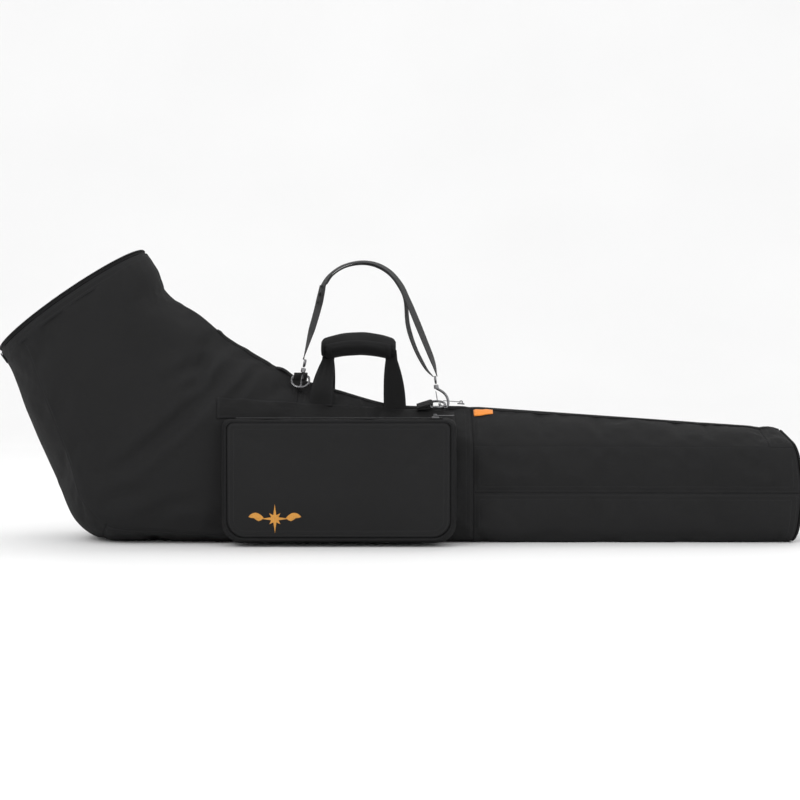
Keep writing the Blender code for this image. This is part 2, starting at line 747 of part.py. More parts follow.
def build_label():
    front = roof_hinge(-1)
    along = [shifted(SEAM, 0.004), shifted(SEAM, 0.020), shifted(SEAM, 0.036)]
    panel("label_tab", along, half_stops(0.19, 0.33, 2, -1), ORANGE, (LAYER_GAP + 0.0012, LAYER_GAP), front)


def pocket_loop(inset, depth_of, grow=0.0):
    """The pocket's outline, drawn in by inset (less at its top), then grown, at the depth depth_of gives."""
    left, right = POCKET_LEFT + inset - grow, POCKET_RIGHT - inset + grow
    low, high = POCKET_BOTTOM + inset - grow, POCKET_TOP - inset * 0.35 + grow
    radius = POCKET_RADIUS + grow
    top_radius = POCKET_RADIUS * 0.4 + grow
    corners = ((left, high, top_radius), (left, low, radius), (right, low, radius), (right, high, top_radius))
    outline, runs = [], []
    for i, (x, z, r) in enumerate(corners):
        here = Vector((x, z))
        before = Vector(corners[i - 1][:2])
        after = Vector(corners[(i + 1) % 4][:2])
        bend = fold(here, before, after, r, 4)
        outline += bend[:-1]
        runs.append((len(outline), bend[-1]))
    spaced = []
    for i, (end, last) in enumerate(runs):
        spaced += outline[end - 4 : end]
        following = outline[end % len(outline)]
        parts = (6, 8)[i % 2]
        spaced += [last.lerp(following, k / parts) for k in range(parts)]
    return [Vector((p.x, depth_of(p.x, p.y), p.y)) for p in spaced]


def build_pocket(trees):
    def rear(x, z):
        hit, _ = ground(trees, -1, x, z)
        return hit.y - (POCKET_BAND_CLEAR if z > POCKET_TOP - 0.02 else POCKET_BACK_CLEAR)

    def middle(x, z):
        return POCKET_FRONT_Y + 0.018

    def front(x, z):
        return POCKET_FRONT_Y + SEAM_GAP

    rings = ((0.004, rear), (0.0, middle), (POCKET_INSET, front))
    outer = [pocket_loop(i, d) for i, d in rings]
    inner = [pocket_loop(i, d, -POCKET_WALL) for i, d in rings]
    loft("pocket_gusset", outer + inner[::-1], CLOTH, closed=True)
    hinge = Vector((0, POCKET_FRONT_Y - POCKET_PANEL, POCKET_BOTTOM + POCKET_INSET))
    flat = [pocket_loop(POCKET_INSET, lambda x, z, y=y: y) for y in (POCKET_FRONT_Y, hinge.y)]
    loft("pocket_front_panel", flat, CLOTH, hinge)
    edge = pocket_loop(POCKET_INSET, lambda x, z: hinge.y + PIPING_RADIUS, PIPING_RADIUS + LAYER_GAP)
    wire("pocket_piping", edge, PIPING_RADIUS, TRIM, hinge, cyclic=True, sides=6)
    build_pocket_zip()
    build_ornament(hinge)


def build_pocket_zip():
    top = Vector((0, POCKET_ZIP_Y, POCKET_TOP + LAYER_GAP))
    frame = (top, Vector((1, 0, 0)), Vector((0, 1, 0)), UP)
    block("pocket_zip_tape", frame, (POCKET_ZIP_LEFT, -0.006, 0), (POCKET_ZIP_RIGHT, 0.006, ZIP_THICKNESS), ZIP)
    start = Vector((POCKET_ZIP_RIGHT - 0.012, POCKET_ZIP_Y, POCKET_TOP + 2 * LAYER_GAP + ZIP_THICKNESS))
    own = (start, Vector((-1, 0, 0)), Vector((0, -1, 0)), UP)
    axis = zip_slider("pocket_zip_slider", own, start)
    zip_puller("pocket_zip_puller", own, axis)


def build_ornament(hinge):
    """A plain eight-pointed star between two leaves."""
    outline = []
    for i in range(16):
        turn = math.pi * i / 8 + math.pi / 2
        reach = (0.024 if i % 4 == 0 else 0.013) if i % 2 == 0 else 0.0065
        outline.append((reach * math.cos(turn), reach * math.sin(turn)))
    y = hinge.y - LAYER_GAP
    loops = [[Vector((ORNAMENT_X + x, y - t, ORNAMENT_Z + z)) for x, z in outline] for t in (0, ORNAMENT_THICKNESS)]
    star = loft("pocket_ornament", loops, GOLD, hinge, smooth=False)
    for sign in (-1, 1):
        leaf = [Vector((sign * x, z)) for x, z in
                ((0.018, 0.0015), (0.027, 0.009), (0.036, 0.009), (0.043, 0.003), (0.034, 0.001), (0.026, -0.004))]
        shape = [[Vector((ORNAMENT_X + p.x, y - t, ORNAMENT_Z + p.y)) for p in leaf]
                 for t in (0, ORNAMENT_THICKNESS)]
        union(star, loft(f"ornament_leaf_{sign}", shape, GOLD, hinge, smooth=False))


def build_handle(trees):
    for place_word, x, lean in (("left", HANDLE_LEFT_X, LEFT_LEG_LEAN), ("right", HANDLE_RIGHT_X, RIGHT_LEG_LEAN)):
        for side_word, side in (("front", -1), ("rear", 1)):
            foot, normal = band_row(trees, side, x)[0]
            foot = foot + normal * (BAND_GAP + WEB_THICKNESS) + UP * 0.003
            head = Vector((x + lean, side * 0.009, HANDLE_AXIS_Z + math.sqrt(LEG_REACH**2 - 0.013**2)))
            knee = Vector((x + lean * 0.3, foot.y * 0.86, foot.z + (head.z - foot.z) * 0.45))
            path = smooth_path([foot, knee, head], 4)
            near = Vector((LEG_WIDE, 0, 0))
            far = Vector((LEG_NARROW, 0.003 * side, 0))
            sides = [near.lerp(far, (i / (len(path) - 1)) ** 2) for i in range(len(path))]
            ribbon(f"handle_{side_word}_{place_word}_leg", path, sides, WEB_THICKNESS, WEBBING)
    build_grip()


def grip_middle(x):
    half = (GRIP_RIGHT - GRIP_LEFT) / 2
    return GRIP_Z - GRIP_DROP * ((x - GRIP_LEFT) / half - 1) ** 2


def grip_loop(x, wide, high, steps=16):
    z = grip_middle(x)
    turns = [2 * math.pi * i / steps for i in range(steps)]
    return [Vector((x, wide / 2 * math.cos(t), z + high / 2 * math.sin(t))) for t in turns]


def build_grip():
    axis = Vector(((GRIP_LEFT + GRIP_RIGHT) / 2, 0, HANDLE_AXIS_Z))
    spots = [GRIP_LEFT + (GRIP_RIGHT - GRIP_LEFT) * s for s in (0, 0.06, 0.2, 0.4, 0.6, 0.8, 0.94, 1)]
    swell = (-2.0, 0, 0.6, 1, 1, 0.6, 0, -2.0)
    outer = [grip_loop(x, GRIP_WIDTH + s * GRIP_SWELL, GRIP_HEIGHT + s * GRIP_SWELL) for x, s in zip(spots, swell)]
    inner = [grip_loop(x, WEB_WIDTH + 0.0012, GRIP_CHANNEL) for x in reversed(spots)]
    loft("grip_pad", outer + inner, CLOTH, axis, closed=True)
    core = 2 * WEB_THICKNESS + LAYER_GAP
    loops = []
    for x in spots[1:-1]:
        z = grip_middle(x)
        half = WEB_WIDTH / 2 - 0.004
        loops.append([Vector((x, y, z + up)) for y, up in
                      ((-half, -core / 2), (half, -core / 2), (half, core / 2), (-half, core / 2))])
    loft("grip_web_core", loops, WEBBING, axis)
    build_grip_flap(spots)


def flap_point(x, turn, out):
    """A point on the grip's front, out from its pad; turn counts round the pad from its rear."""
    wide = GRIP_WIDTH / 2 + GRIP_SWELL / 2 + out
    high = GRIP_HEIGHT / 2 + GRIP_SWELL / 2 + out
    return Vector((x, wide * math.cos(turn), grip_middle(x) + high * math.sin(turn)))


def grip_flap_hinge():
    return flap_point((GRIP_LEFT + GRIP_RIGHT) / 2, FLAP_TURNS[0], 0.0006 + FLAP_THICKNESS) + UP * 0.0005


def build_grip_flap(spots):
    low = 0.0006
    rows = []
    for out in (low + FLAP_THICKNESS, low):
        rows.append([[flap_point(x, t, out) for t in FLAP_TURNS] for x in spots[1:-1]])
    slab("grip_closure_flap", rows[0], rows[1], TRIM, grip_flap_hinge())


def d_ring(name, clip, forwards, sideways):
    """A D-ring whose bow's middle is at clip and whose straight bar lies behind it."""
    half = RING_WIDTH / 2
    bar = clip - forwards * RING_LENGTH
    path = [bar - sideways * half, bar + sideways * half]
    straight = RING_LENGTH - half * 0.8
    for i in range(9):
        turn = math.pi / 2 - math.pi * i / 8
        path.append(bar + forwards * (straight + half * 0.8 * math.cos(turn)) + sideways * half * math.sin(turn))
    wire(name, path, WIRE_RADIUS, METAL, bar, cyclic=True, sides=6)
    return bar


def ring_tab(name, bar, tail, sideways):
    """A short web folded round the ring's bar; both its ends lie at tail."""
    back = (tail - bar).normalized()
    up = back.cross(sideways).normalized()
    if up.z < -0.01 or (abs(up.z) <= 0.01 and up.y > 0):
        up = -up
    fold_radius = WIRE_RADIUS + LAYER_GAP + STRAP_THICKNESS / 2 + 0.0004
    path = [tail - up * (STRAP_THICKNESS / 2 + 0.0003)]
    for i in range(7):
        turn = -math.pi / 2 + math.pi * i / 6
        path.append(bar - back * fold_radius * math.cos(turn) + up * fold_radius * math.sin(turn))
    path.append(tail + up * (STRAP_THICKNESS / 2 + 0.0003))
    half = sideways * (RING_WIDTH / 2 - WIRE_RADIUS - 0.0012)
    ribbon(name, path, [half] * len(path), STRAP_THICKNESS, WEBBING)


def snap_hook(word, clip, lateral, up):
    """A bent hook round the ring at clip, its wire gate, and the eye above it; returns the eye's foot."""
    def at(across, rise, out=0.0):
        return clip + lateral * across + up * rise + lateral.cross(up) * out

    shank = -0.0115
    bend = [(shank, HOOK_RISE), (-0.0035, HOOK_RISE - 0.0045), (0.0035, 0.0155), (0.0060, 0.0055),
            (0.0042, -0.0028), (-0.0008, -0.0060), (-0.0068, -0.0042), (-0.0100, 0.0018)]
    path = smooth_path([at(a, r) for a, r in bend], 2)
    pivot = at(shank - 0.0008, HOOK_RISE - 0.0045)
    foot = at(shank, HOOK_RISE)
    hook = wire(f"{word}_snap_hook", path, WIRE_RADIUS, METAL, foot)
    barrel = wire(f"{word}_hook_barrel", [at(shank, HOOK_RISE - 0.001), at(shank, HOOK_RISE + BARREL_LENGTH)],
                  BARREL_RADIUS, METAL, foot, sides=12)
    union(hook, barrel)
    gate = [at(-0.0122, 0.0045), at(-0.0130, HOOK_RISE - 0.0040)]
    wire(f"{word}_hook_gate", gate, GATE_RADIUS, METAL, gate[-1], sides=6)
    return at(shank, HOOK_RISE + BARREL_LENGTH)


def hook_eye(word, foot, up, sideways):
    """The wire loop that the strap's web goes through, standing on the hook's barrel."""
    half = STRAP_WIDTH / 2 + EYE_CLEARANCE
    narrow = half * EYE_TAPER
    base = foot + up * (WIRE_RADIUS + LAYER_GAP)
    corners = [Vector((-narrow, 0)), Vector((narrow, 0)), Vector((half, EYE_HEIGHT)), Vector((-half, EYE_HEIGHT))]
    path = []
    for i, corner in enumerate(corners):
        path += fold(corner, corners[i - 1], corners[(i + 1) % 4], EYE_CORNER, 4)
    path = [base + sideways * p.x + up * p.y for p in path]
    wire(f"{word}_swivel_eye", path, EYE_WIRE, METAL, foot, cyclic=True)
    return base + up * EYE_HEIGHT


def strap_line(points, left_y, right_y, left_x, right_x):
    path = []
    for x, z in points:
        share = min(max((x - left_x) / (right_x - left_x), 0), 1)
        path.append(Vector((x, left_y + (right_y - left_y) * share, z)))
    return path


def web_sides(path, most):
    """Half-width vectors, turned from the case's depth by up to most degrees in the middle of the path."""
    sides = []
    for i, point in enumerate(path):
        ahead = (path[min(i + 1, len(path) - 1)] - path[max(i - 1, 0)]).normalized()
        across = Vector((0, 1, 0))
        across = (across - ahead * ahead.dot(across)).normalized()
        turn = math.radians(most) * math.sin(math.pi * i / (len(path) - 1))
        sides.append((across * math.cos(turn) + ahead.cross(across) * math.sin(turn)) * STRAP_WIDTH / 2)
    return sides


def eye_wrap(top, up, out):
    """Where a web that turns round an eye's upper bar leaves it, on the side that out points to."""
    return top + out * (EYE_WIRE + LAYER_GAP + STRAP_THICKNESS / 2 + 0.0004) + up * 0.001


def build_strap():
    left_bar = d_ring("left_d_ring", LEFT_CLIP, LEFT_RING_DOWN, LEFT_RING_ACROSS)
    right_bar = d_ring("right_d_ring", RIGHT_CLIP, RIGHT_RING_ALONG, RIGHT_RING_ACROSS)
    ring_tab("left_ring_tab", left_bar, left_bar + Vector((-0.001, 0.0015, -0.0085)), LEFT_RING_ACROSS)
    ring_tab("right_ring_tab", right_bar, right_bar + Vector((-0.023, 0, -0.0045)), RIGHT_RING_ACROSS)
    left_foot = snap_hook("left", LEFT_CLIP, LEFT_LATERAL, LEFT_UP)
    right_foot = snap_hook("right", RIGHT_CLIP, RIGHT_LATERAL, RIGHT_UP)
    left_across = Vector((0, 1, 0))
    left_top = hook_eye("left", left_foot, LEFT_UP, left_across)
    right_top = hook_eye("right", right_foot, RIGHT_UP, left_across)
    y_left, y_right = left_top.y, right_top.y
    main = strap_line((*STRAP_LEG, *STRAP_ARCH, *STRAP_OUTER), y_left, y_right, left_top.x, right_top.x)
    start = eye_wrap(left_top, LEFT_UP, Vector((-1, 0, 0)))
    end = eye_wrap(right_top, RIGHT_UP, Vector((1, 0, 0)))
    path = smooth_path([start, *main, end], 2)
    ribbon("strap_web", path, web_sides(path, STRAP_TURN), STRAP_THICKNESS, WEBBING)
    inner = strap_line(STRAP_INNER, y_left, y_right, left_top.x, right_top.x)
    begin = eye_wrap(right_top, RIGHT_UP, Vector((-1, 0, 0)))
    under = strap_line(STRAP_ARCH[::-1], y_left, y_right, left_top.x, right_top.x)
    drop = STRAP_THICKNESS + 0.0022
    lowered = []
    for i, point in enumerate(under):
        ahead = (under[min(i + 1, len(under) - 1)] - under[max(i - 1, 0)]).normalized()
        inwards = Vector((ahead.z, 0, -ahead.x))
        if inwards.dot(Vector((-0.04, 0, 0.36)) - point) < 0:
            inwards = -inwards
        lowered.append(point + inwards * drop)
    back = smooth_path([begin, *inner[::-1], *lowered], 2)
    ribbon("strap_return_web", back, web_sides(back, -STRAP_TURN), STRAP_THICKNESS, WEBBING)
    build_adjuster(main)


def build_adjuster(main):
    """A plate with two slots on the straight stretch of the strap's left leg."""
    low, high = main[1], main[2]
    along = (high - low).normalized()
    across = Vector((0, 1, 0))
    out = along.cross(across)
    if out.x > 0:
        out = -out
    long, wide, thick = ADJUSTER_SIZE
    middle = low.lerp(high, 0.95)
    frame = (middle + out * (STRAP_THICKNESS / 2 + 0.0022), along, across, out)
    plate = block("strap_adjuster", frame, (-long / 2, -wide / 2, 0), (long / 2, wide / 2, thick), PLASTIC, middle)
    for sign in (-1, 1):
        near, far = sorted((sign * 0.0025, sign * (long / 2 - 0.003)))
        slot = block(f"adjuster_slot_{sign}", frame, (near, -ADJUSTER_SLOT, -0.002), (far, ADJUSTER_SLOT, thick + 0.002), PLASTIC)
        cut(plate, slot)


def main():
    clear_scene()
    build_bell_and_neck()
    build_tube()
    build_mouth_zip()
    build_lid()
    build_lid_zip()
    trees = case_trees()
    build_bands(trees)
    build_ridge_zips()
    build_label()
    build_pocket(trees)
    build_handle(trees)
    build_strap()


main()
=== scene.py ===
import math

import bpy
import numpy as np
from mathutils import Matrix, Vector, noise
from mathutils.bvhtree import BVHTree


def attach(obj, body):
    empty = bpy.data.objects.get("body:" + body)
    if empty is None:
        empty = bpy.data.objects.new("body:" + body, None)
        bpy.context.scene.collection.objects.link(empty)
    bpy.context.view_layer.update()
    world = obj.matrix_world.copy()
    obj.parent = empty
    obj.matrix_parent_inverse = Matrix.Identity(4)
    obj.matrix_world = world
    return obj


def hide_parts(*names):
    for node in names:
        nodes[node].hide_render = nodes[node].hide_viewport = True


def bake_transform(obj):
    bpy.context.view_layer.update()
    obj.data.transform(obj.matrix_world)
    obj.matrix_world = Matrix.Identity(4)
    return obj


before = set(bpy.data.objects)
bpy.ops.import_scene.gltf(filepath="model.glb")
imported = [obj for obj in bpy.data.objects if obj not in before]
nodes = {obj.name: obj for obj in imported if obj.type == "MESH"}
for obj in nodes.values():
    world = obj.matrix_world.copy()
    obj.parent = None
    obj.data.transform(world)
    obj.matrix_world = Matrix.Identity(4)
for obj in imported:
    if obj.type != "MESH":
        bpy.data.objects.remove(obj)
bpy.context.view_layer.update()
up = Vector((0, 0, 1))

# camera

view = {"distance": 3.0, "elevation": 1.7, "lookAt": (0.0, 0.0, 0.235), "lens": 79.0}


def setCamera():
    tilt = math.radians(view["elevation"])
    target = Vector(view["lookAt"])
    data = bpy.data.cameras.new("camera")
    data.lens = view["lens"]
    camera = bpy.data.objects.new("camera", data)
    bpy.context.scene.collection.objects.link(camera)
    camera.location = target + Vector((0, -math.cos(tilt), math.sin(tilt))) * view["distance"]
    camera.rotation_euler = (target - camera.location).to_track_quat("-Z", "Y").to_euler()
    bpy.context.scene.camera = camera


setCamera()
print("camera set")

# shader groups


def sockets(group, ins, outs):
    for name, kind, value in ins:
        made = group.interface.new_socket(name, in_out="INPUT", socket_type=kind)
        if value is not None:
            made.default_value = value
    for name, kind in outs:
        group.interface.new_socket(name, in_out="OUTPUT", socket_type=kind)
    return group.nodes.new("NodeGroupInput"), group.nodes.new("NodeGroupOutput")


def calc(tree, operation, a, b=None, c=None):
    made = tree.nodes.new("ShaderNodeMath")
    made.operation = operation
    for socket, value in zip(made.inputs, (a, b, c)):
        if value is None:
            continue
        if isinstance(value, (int, float)):
            socket.default_value = value
        else:
            tree.links.new(value, socket)
    return made.outputs[0]


def blurNoise(tree, vector, scale, detail=3.0):
    made = tree.nodes.new("ShaderNodeTexNoise")
    made.inputs["Detail"].default_value = detail
    if isinstance(scale, (int, float)):
        made.inputs["Scale"].default_value = scale
    else:
        tree.links.new(scale, made.inputs["Scale"])
    tree.links.new(vector, made.inputs["Vector"])
    return made.outputs[0]


def makeWeaveGroup():
    # a plain weave: two sets of threads that pass over and under, each a little uneven
    group = bpy.data.node_groups.new("plainWeave", "ShaderNodeTree")
    start, end = sockets(
        group,
        [("Vector", "NodeSocketVector", None), ("Threads per metre", "NodeSocketFloat", 1400.0),
         ("Unevenness", "NodeSocketFloat", 0.35)],
        [("Height", "NodeSocketFloat"), ("Shade", "NodeSocketFloat")])
    split = group.nodes.new("ShaderNodeSeparateXYZ")
    group.links.new(start.outputs["Vector"], split.inputs[0])
    threads = start.outputs["Threads per metre"]
    wobble = blurNoise(group, start.outputs["Vector"], 160.0, 2.0)
    shift = calc(group, "MULTIPLY", wobble, 1.6)
    across = calc(group, "ADD", calc(group, "MULTIPLY", split.outputs[0], threads), shift)
    along = calc(group, "ADD", calc(group, "MULTIPLY", split.outputs[1], threads), shift)
    warp = calc(group, "SINE", calc(group, "MULTIPLY", across, math.pi))
    weft = calc(group, "SINE", calc(group, "MULTIPLY", along, math.pi))
    over = calc(group, "MULTIPLY", warp, weft)
    slub = blurNoise(group, start.outputs["Vector"], 900.0, 2.0)
    uneven = calc(group, "MULTIPLY", slub, start.outputs["Unevenness"])
    height = calc(group, "ADD", calc(group, "MULTIPLY", over, 0.5), uneven)
    group.links.new(height, end.inputs["Height"])
    group.links.new(calc(group, "ADD", calc(group, "MULTIPLY", over, 0.16), 0.84), end.inputs["Shade"])
    return group


def makeWebbingGroup():
    # flat webbing: a chevron of ribs either side of its middle line
    group = bpy.data.node_groups.new("webbingWeave", "ShaderNodeTree")
    start, end = sockets(
        group,
        [("Vector", "NodeSocketVector", None), ("Ribs per metre", "NodeSocketFloat", 420.0)],
        [("Height", "NodeSocketFloat"), ("Shade", "NodeSocketFloat")])
    split = group.nodes.new("ShaderNodeSeparateXYZ")
    group.links.new(start.outputs["Vector"], split.inputs[0])
    ribs = start.outputs["Ribs per metre"]
    side = calc(group, "PINGPONG", split.outputs[1], 0.0048)
    lean = calc(group, "ADD", split.outputs[0], calc(group, "MULTIPLY", side, 0.9))
    rib = calc(group, "SINE", calc(group, "MULTIPLY", calc(group, "MULTIPLY", lean, ribs), 2 * math.pi))
    cord = calc(group, "SINE", calc(group, "MULTIPLY", split.outputs[1], 2 * math.pi / 0.0016))
    height = calc(group, "ADD", calc(group, "MULTIPLY", rib, 0.5), calc(group, "MULTIPLY", cord, 0.25))
    group.links.new(height, end.inputs["Height"])
    group.links.new(calc(group, "ADD", calc(group, "MULTIPLY", rib, 0.22), 0.78), end.inputs["Shade"])
    return group


def makeDustAndTopLightGroup():
    # dust that settles in blotches and specks, plus painted light from above: faces that look up are painted lighter
    group = bpy.data.node_groups.new("settledDustAndPaintedTopLight", "ShaderNodeTree")
    start, end = sockets(group, [("Amount", "NodeSocketFloat", 0.3)], [("Mask", "NodeSocketFloat")])
    place = group.nodes.new("ShaderNodeNewGeometry")
    split = group.nodes.new("ShaderNodeSeparateXYZ")
    group.links.new(place.outputs["Normal"], split.inputs[0])
    # painted light from above: the more a face looks up, the lighter it is painted
    paintedTopLight = calc(group, "POWER", calc(group, "MAXIMUM", split.outputs[2], 0.02), 1.6)
    blotch = blurNoise(group, place.outputs["Position"], 14.0, 6.0)
    specks = calc(group, "GREATER_THAN", blurNoise(group, place.outputs["Position"], 700.0, 1.0), 0.72)
    mixed = calc(group, "ADD", calc(group, "MULTIPLY", calc(group, "ADD", paintedTopLight, 0.25), blotch),
                 calc(group, "MULTIPLY", specks, 0.5))
    group.links.new(calc(group, "MULTIPLY", mixed, start.outputs["Amount"]), end.inputs["Mask"])
    return group


def makeWearGroup():
    # rubbing along worn edges and folds, broken up by a fine grain
    group = bpy.data.node_groups.new("edgeWear", "ShaderNodeTree")
    start, end = sockets(group, [("Amount", "NodeSocketFloat", 0.5)], [("Mask", "NodeSocketFloat")])
    place = group.nodes.new("ShaderNodeNewGeometry")
    edge = calc(group, "MULTIPLY", calc(group, "SUBTRACT", place.outputs["Pointiness"], 0.505), 22.0)
    edge = calc(group, "MINIMUM", calc(group, "MAXIMUM", edge, 0.0), 1.0)
    grain = blurNoise(group, place.outputs["Position"], 220.0, 4.0)
    group.links.new(calc(group, "MULTIPLY", calc(group, "MULTIPLY", edge, grain), start.outputs["Amount"]),
                    end.inputs["Mask"])
    return group


def makeStitchGroup():
    # rows of stitches at set distances from a seam: X runs along it, Y is the distance out from it
    group = bpy.data.node_groups.new("stitchRows", "ShaderNodeTree")
    start, end = sockets(
        group,
        [("Vector", "NodeSocketVector", None), ("First row", "NodeSocketFloat", 0.004),
         ("Second row", "NodeSocketFloat", 0.011), ("Stitch", "NodeSocketFloat", 0.0036)],
        [("Mask", "NodeSocketFloat"), ("Dent", "NodeSocketFloat")])
    split = group.nodes.new("ShaderNodeSeparateXYZ")
    group.links.new(start.outputs["Vector"], split.inputs[0])
    share = calc(group, "FRACT", calc(group, "DIVIDE", split.outputs[0], start.outputs["Stitch"]))
    inThread = calc(group, "LESS_THAN", calc(group, "ABSOLUTE", calc(group, "SUBTRACT", share, 0.5)), 0.36)
    masks, dents = [], []
    for name in ("First row", "Second row"):
        away = calc(group, "ABSOLUTE", calc(group, "SUBTRACT", split.outputs[1], start.outputs[name]))
        masks.append(calc(group, "LESS_THAN", away, 0.00045))
        dents.append(calc(group, "MAXIMUM", calc(group, "SUBTRACT", 1.0, calc(group, "DIVIDE", away, 0.0018)), 0.0))
    row = calc(group, "MAXIMUM", masks[0], masks[1])
    group.links.new(calc(group, "MULTIPLY", row, inThread), end.inputs["Mask"])
    group.links.new(calc(group, "MAXIMUM", dents[0], dents[1]), end.inputs["Dent"])
    return group


weaveGroup = makeWeaveGroup()
webbingGroup = makeWebbingGroup()
# dust together with painted light from above on faces that look up
dustAndTopLightGroup = makeDustAndTopLightGroup()
wearGroup = makeWearGroup()
stitchGroup = makeStitchGroup()


def useGroup(tree, group, vector=None, **values):
    made = tree.nodes.new("ShaderNodeGroup")
    made.node_tree = group
    if vector is not None:
        tree.links.new(vector, made.inputs["Vector"])
    for name, value in values.items():
        made.inputs[name.replace("_", " ")].default_value = value
    return made


def mixColor(tree, mask, a, b):
    made = tree.nodes.new("ShaderNodeMix")
    made.data_type = "RGBA"
    for socket, value in ((made.inputs[6], a), (made.inputs[7], b)):
        if isinstance(value, tuple):
            socket.default_value = (*value, 1)
        else:
            tree.links.new(value, socket)
    if isinstance(mask, float):
        made.inputs[0].default_value = mask
    else:
        tree.links.new(mask, made.inputs[0])
    return made.outputs[2]


def shaded(tree, color, shade):
    made = tree.nodes.new("ShaderNodeVectorMath")
    made.operation = "SCALE"
    tree.links.new(color, made.inputs[0])
    tree.links.new(shade, made.inputs["Scale"])
    return made.outputs[0]


def spreadTo(tree, value, low, high):
    made = tree.nodes.new("ShaderNodeMapRange")
    made.inputs["To Min"].default_value = low
    made.inputs["To Max"].default_value = high
    tree.links.new(value, made.inputs["Value"])
    return made.outputs[0]


def bump(tree, height, distance, strength, before=None):
    made = tree.nodes.new("ShaderNodeBump")
    made.inputs["Distance"].default_value = distance
    made.inputs["Strength"].default_value = strength
    tree.links.new(height, made.inputs["Height"])
    if before is not None:
        tree.links.new(before, made.inputs["Normal"])
    return made.outputs[0]


def newMaterial(name):
    made = bpy.data.materials.new(name)
    made.use_nodes = True
    tree = made.node_tree
    return made, tree, tree.nodes["Principled BSDF"]


def coordinates(tree, which="UV"):
    return tree.nodes.new("ShaderNodeTexCoord").outputs[which]


def seamCoordinates(tree):
    made = tree.nodes.new("ShaderNodeUVMap")
    made.uv_map = "seam"
    return made.outputs[0]


def makeCloth(name, look):
    made, tree, shader = newMaterial(name)
    where = coordinates(tree)
    weave = useGroup(tree, weaveGroup, where, Threads_per_metre=look["threads"])
    place = tree.nodes.new("ShaderNodeNewGeometry").outputs["Position"]
    fade = blurNoise(tree, place, 7.0, 4.0)
    color = mixColor(tree, fade, look["dark"], look["light"])
    color = shaded(tree, color, weave.outputs["Shade"])
    # dust blotches and specks, plus painted light from above that lightens faces looking up
    dustAndTopLight = useGroup(tree, dustAndTopLightGroup, Amount=look["dustAndTopLight"])
    color = mixColor(tree, dustAndTopLight.outputs["Mask"], color, look["dustAndTopLightColor"])
    wear = useGroup(tree, wearGroup, Amount=look["wear"])
    color = mixColor(tree, wear.outputs["Mask"], color, look["worn"])
    normal = None
    if look["stitched"]:
        rows = useGroup(tree, stitchGroup, seamCoordinates(tree))
        color = mixColor(tree, rows.outputs["Mask"], color, look["thread"])
        normal = bump(tree, calc(tree, "MULTIPLY", rows.outputs["Dent"], -1.0), 0.0008, 0.35)
    normal = bump(tree, blurNoise(tree, place, 60.0, 5.0), look["rumple"], 0.5, normal)
    normal = bump(tree, weave.outputs["Height"], 0.00035, look["weaveStrength"], normal)
    tree.links.new(color, shader.inputs["Base Color"])
    tree.links.new(spreadTo(tree, fade, look["rough"] - 0.07, look["rough"] + 0.07), shader.inputs["Roughness"])
    tree.links.new(normal, shader.inputs["Normal"])
    shader.inputs["Sheen Weight"].default_value = look["sheen"]
    shader.inputs["Sheen Roughness"].default_value = 0.45
    shader.inputs["Specular IOR Level"].default_value = look["gloss"]
    return made


def makeWebbing(name, look):
    made, tree, shader = newMaterial(name)
    where = coordinates(tree)
    weave = useGroup(tree, webbingGroup, where, Ribs_per_metre=look["ribs"])
    place = tree.nodes.new("ShaderNodeNewGeometry").outputs["Position"]
    fade = blurNoise(tree, place, 25.0, 4.0)
    color = shaded(tree, mixColor(tree, fade, look["dark"], look["light"]), weave.outputs["Shade"])
    wear = useGroup(tree, wearGroup, Amount=look["wear"])
    color = mixColor(tree, wear.outputs["Mask"], color, look["worn"])
    rows = useGroup(tree, stitchGroup, seamCoordinates(tree), First_row=0.0022, Second_row=0.5)
    color = mixColor(tree, rows.outputs["Mask"], color, look["thread"])
    tree.links.new(color, shader.inputs["Base Color"])
    tree.links.new(spreadTo(tree, fade, look["rough"] - 0.08, look["rough"] + 0.08), shader.inputs["Roughness"])
    tree.links.new(bump(tree, weave.outputs["Height"], 0.0006, look["depth"]), shader.inputs["Normal"])
    shader.inputs["Sheen Weight"].default_value = look["sheen"]
    shader.inputs["Specular IOR Level"].default_value = look["gloss"]
    return made


def makeMetal(name, look):
    made, tree, shader = newMaterial(name)
    place = tree.nodes.new("ShaderNodeNewGeometry").outputs["Position"]
    fade = blurNoise(tree, place, 120.0, 4.0)
    scratches = blurNoise(tree, place, 1500.0, 3.0)
    wear = useGroup(tree, wearGroup, Amount=look["wear"])
    color = mixColor(tree, wear.outputs["Mask"], mixColor(tree, fade, look["dark"], look["light"]), look["worn"])
    tree.links.new(color, shader.inputs["Base Color"])
    tree.links.new(spreadTo(tree, fade, look["rough"] - 0.06, look["rough"] + 0.1), shader.inputs["Roughness"])
    tree.links.new(bump(tree, scratches, 0.0001, 0.25), shader.inputs["Normal"])
    shader.inputs["Metallic"].default_value = look["metallic"]
    return made


def makeThread(name, look):
    # satin stitch: short threads laid side by side
    made, tree, shader = newMaterial(name)
    where = coordinates(tree)
    wave = tree.nodes.new("ShaderNodeTexWave")
    wave.inputs["Scale"].default_value = look["threads"]
    wave.inputs["Distortion"].default_value = 1.2
    wave.inputs["Detail"].default_value = 2.0
    tree.links.new(where, wave.inputs["Vector"])
    fade = blurNoise(tree, where, 220.0, 3.0)
    color = mixColor(tree, wave.outputs[1], look["dark"], look["light"])
    tree.links.new(mixColor(tree, calc(tree, "MULTIPLY", fade, 0.35), color, look["worn"]), shader.inputs["Base Color"])
    tree.links.new(spreadTo(tree, fade, look["rough"] - 0.1, look["rough"] + 0.1), shader.inputs["Roughness"])
    tree.links.new(bump(tree, wave.outputs[1], 0.0004, 0.7), shader.inputs["Normal"])
    shader.inputs["Sheen Weight"].default_value = 0.2
    return made
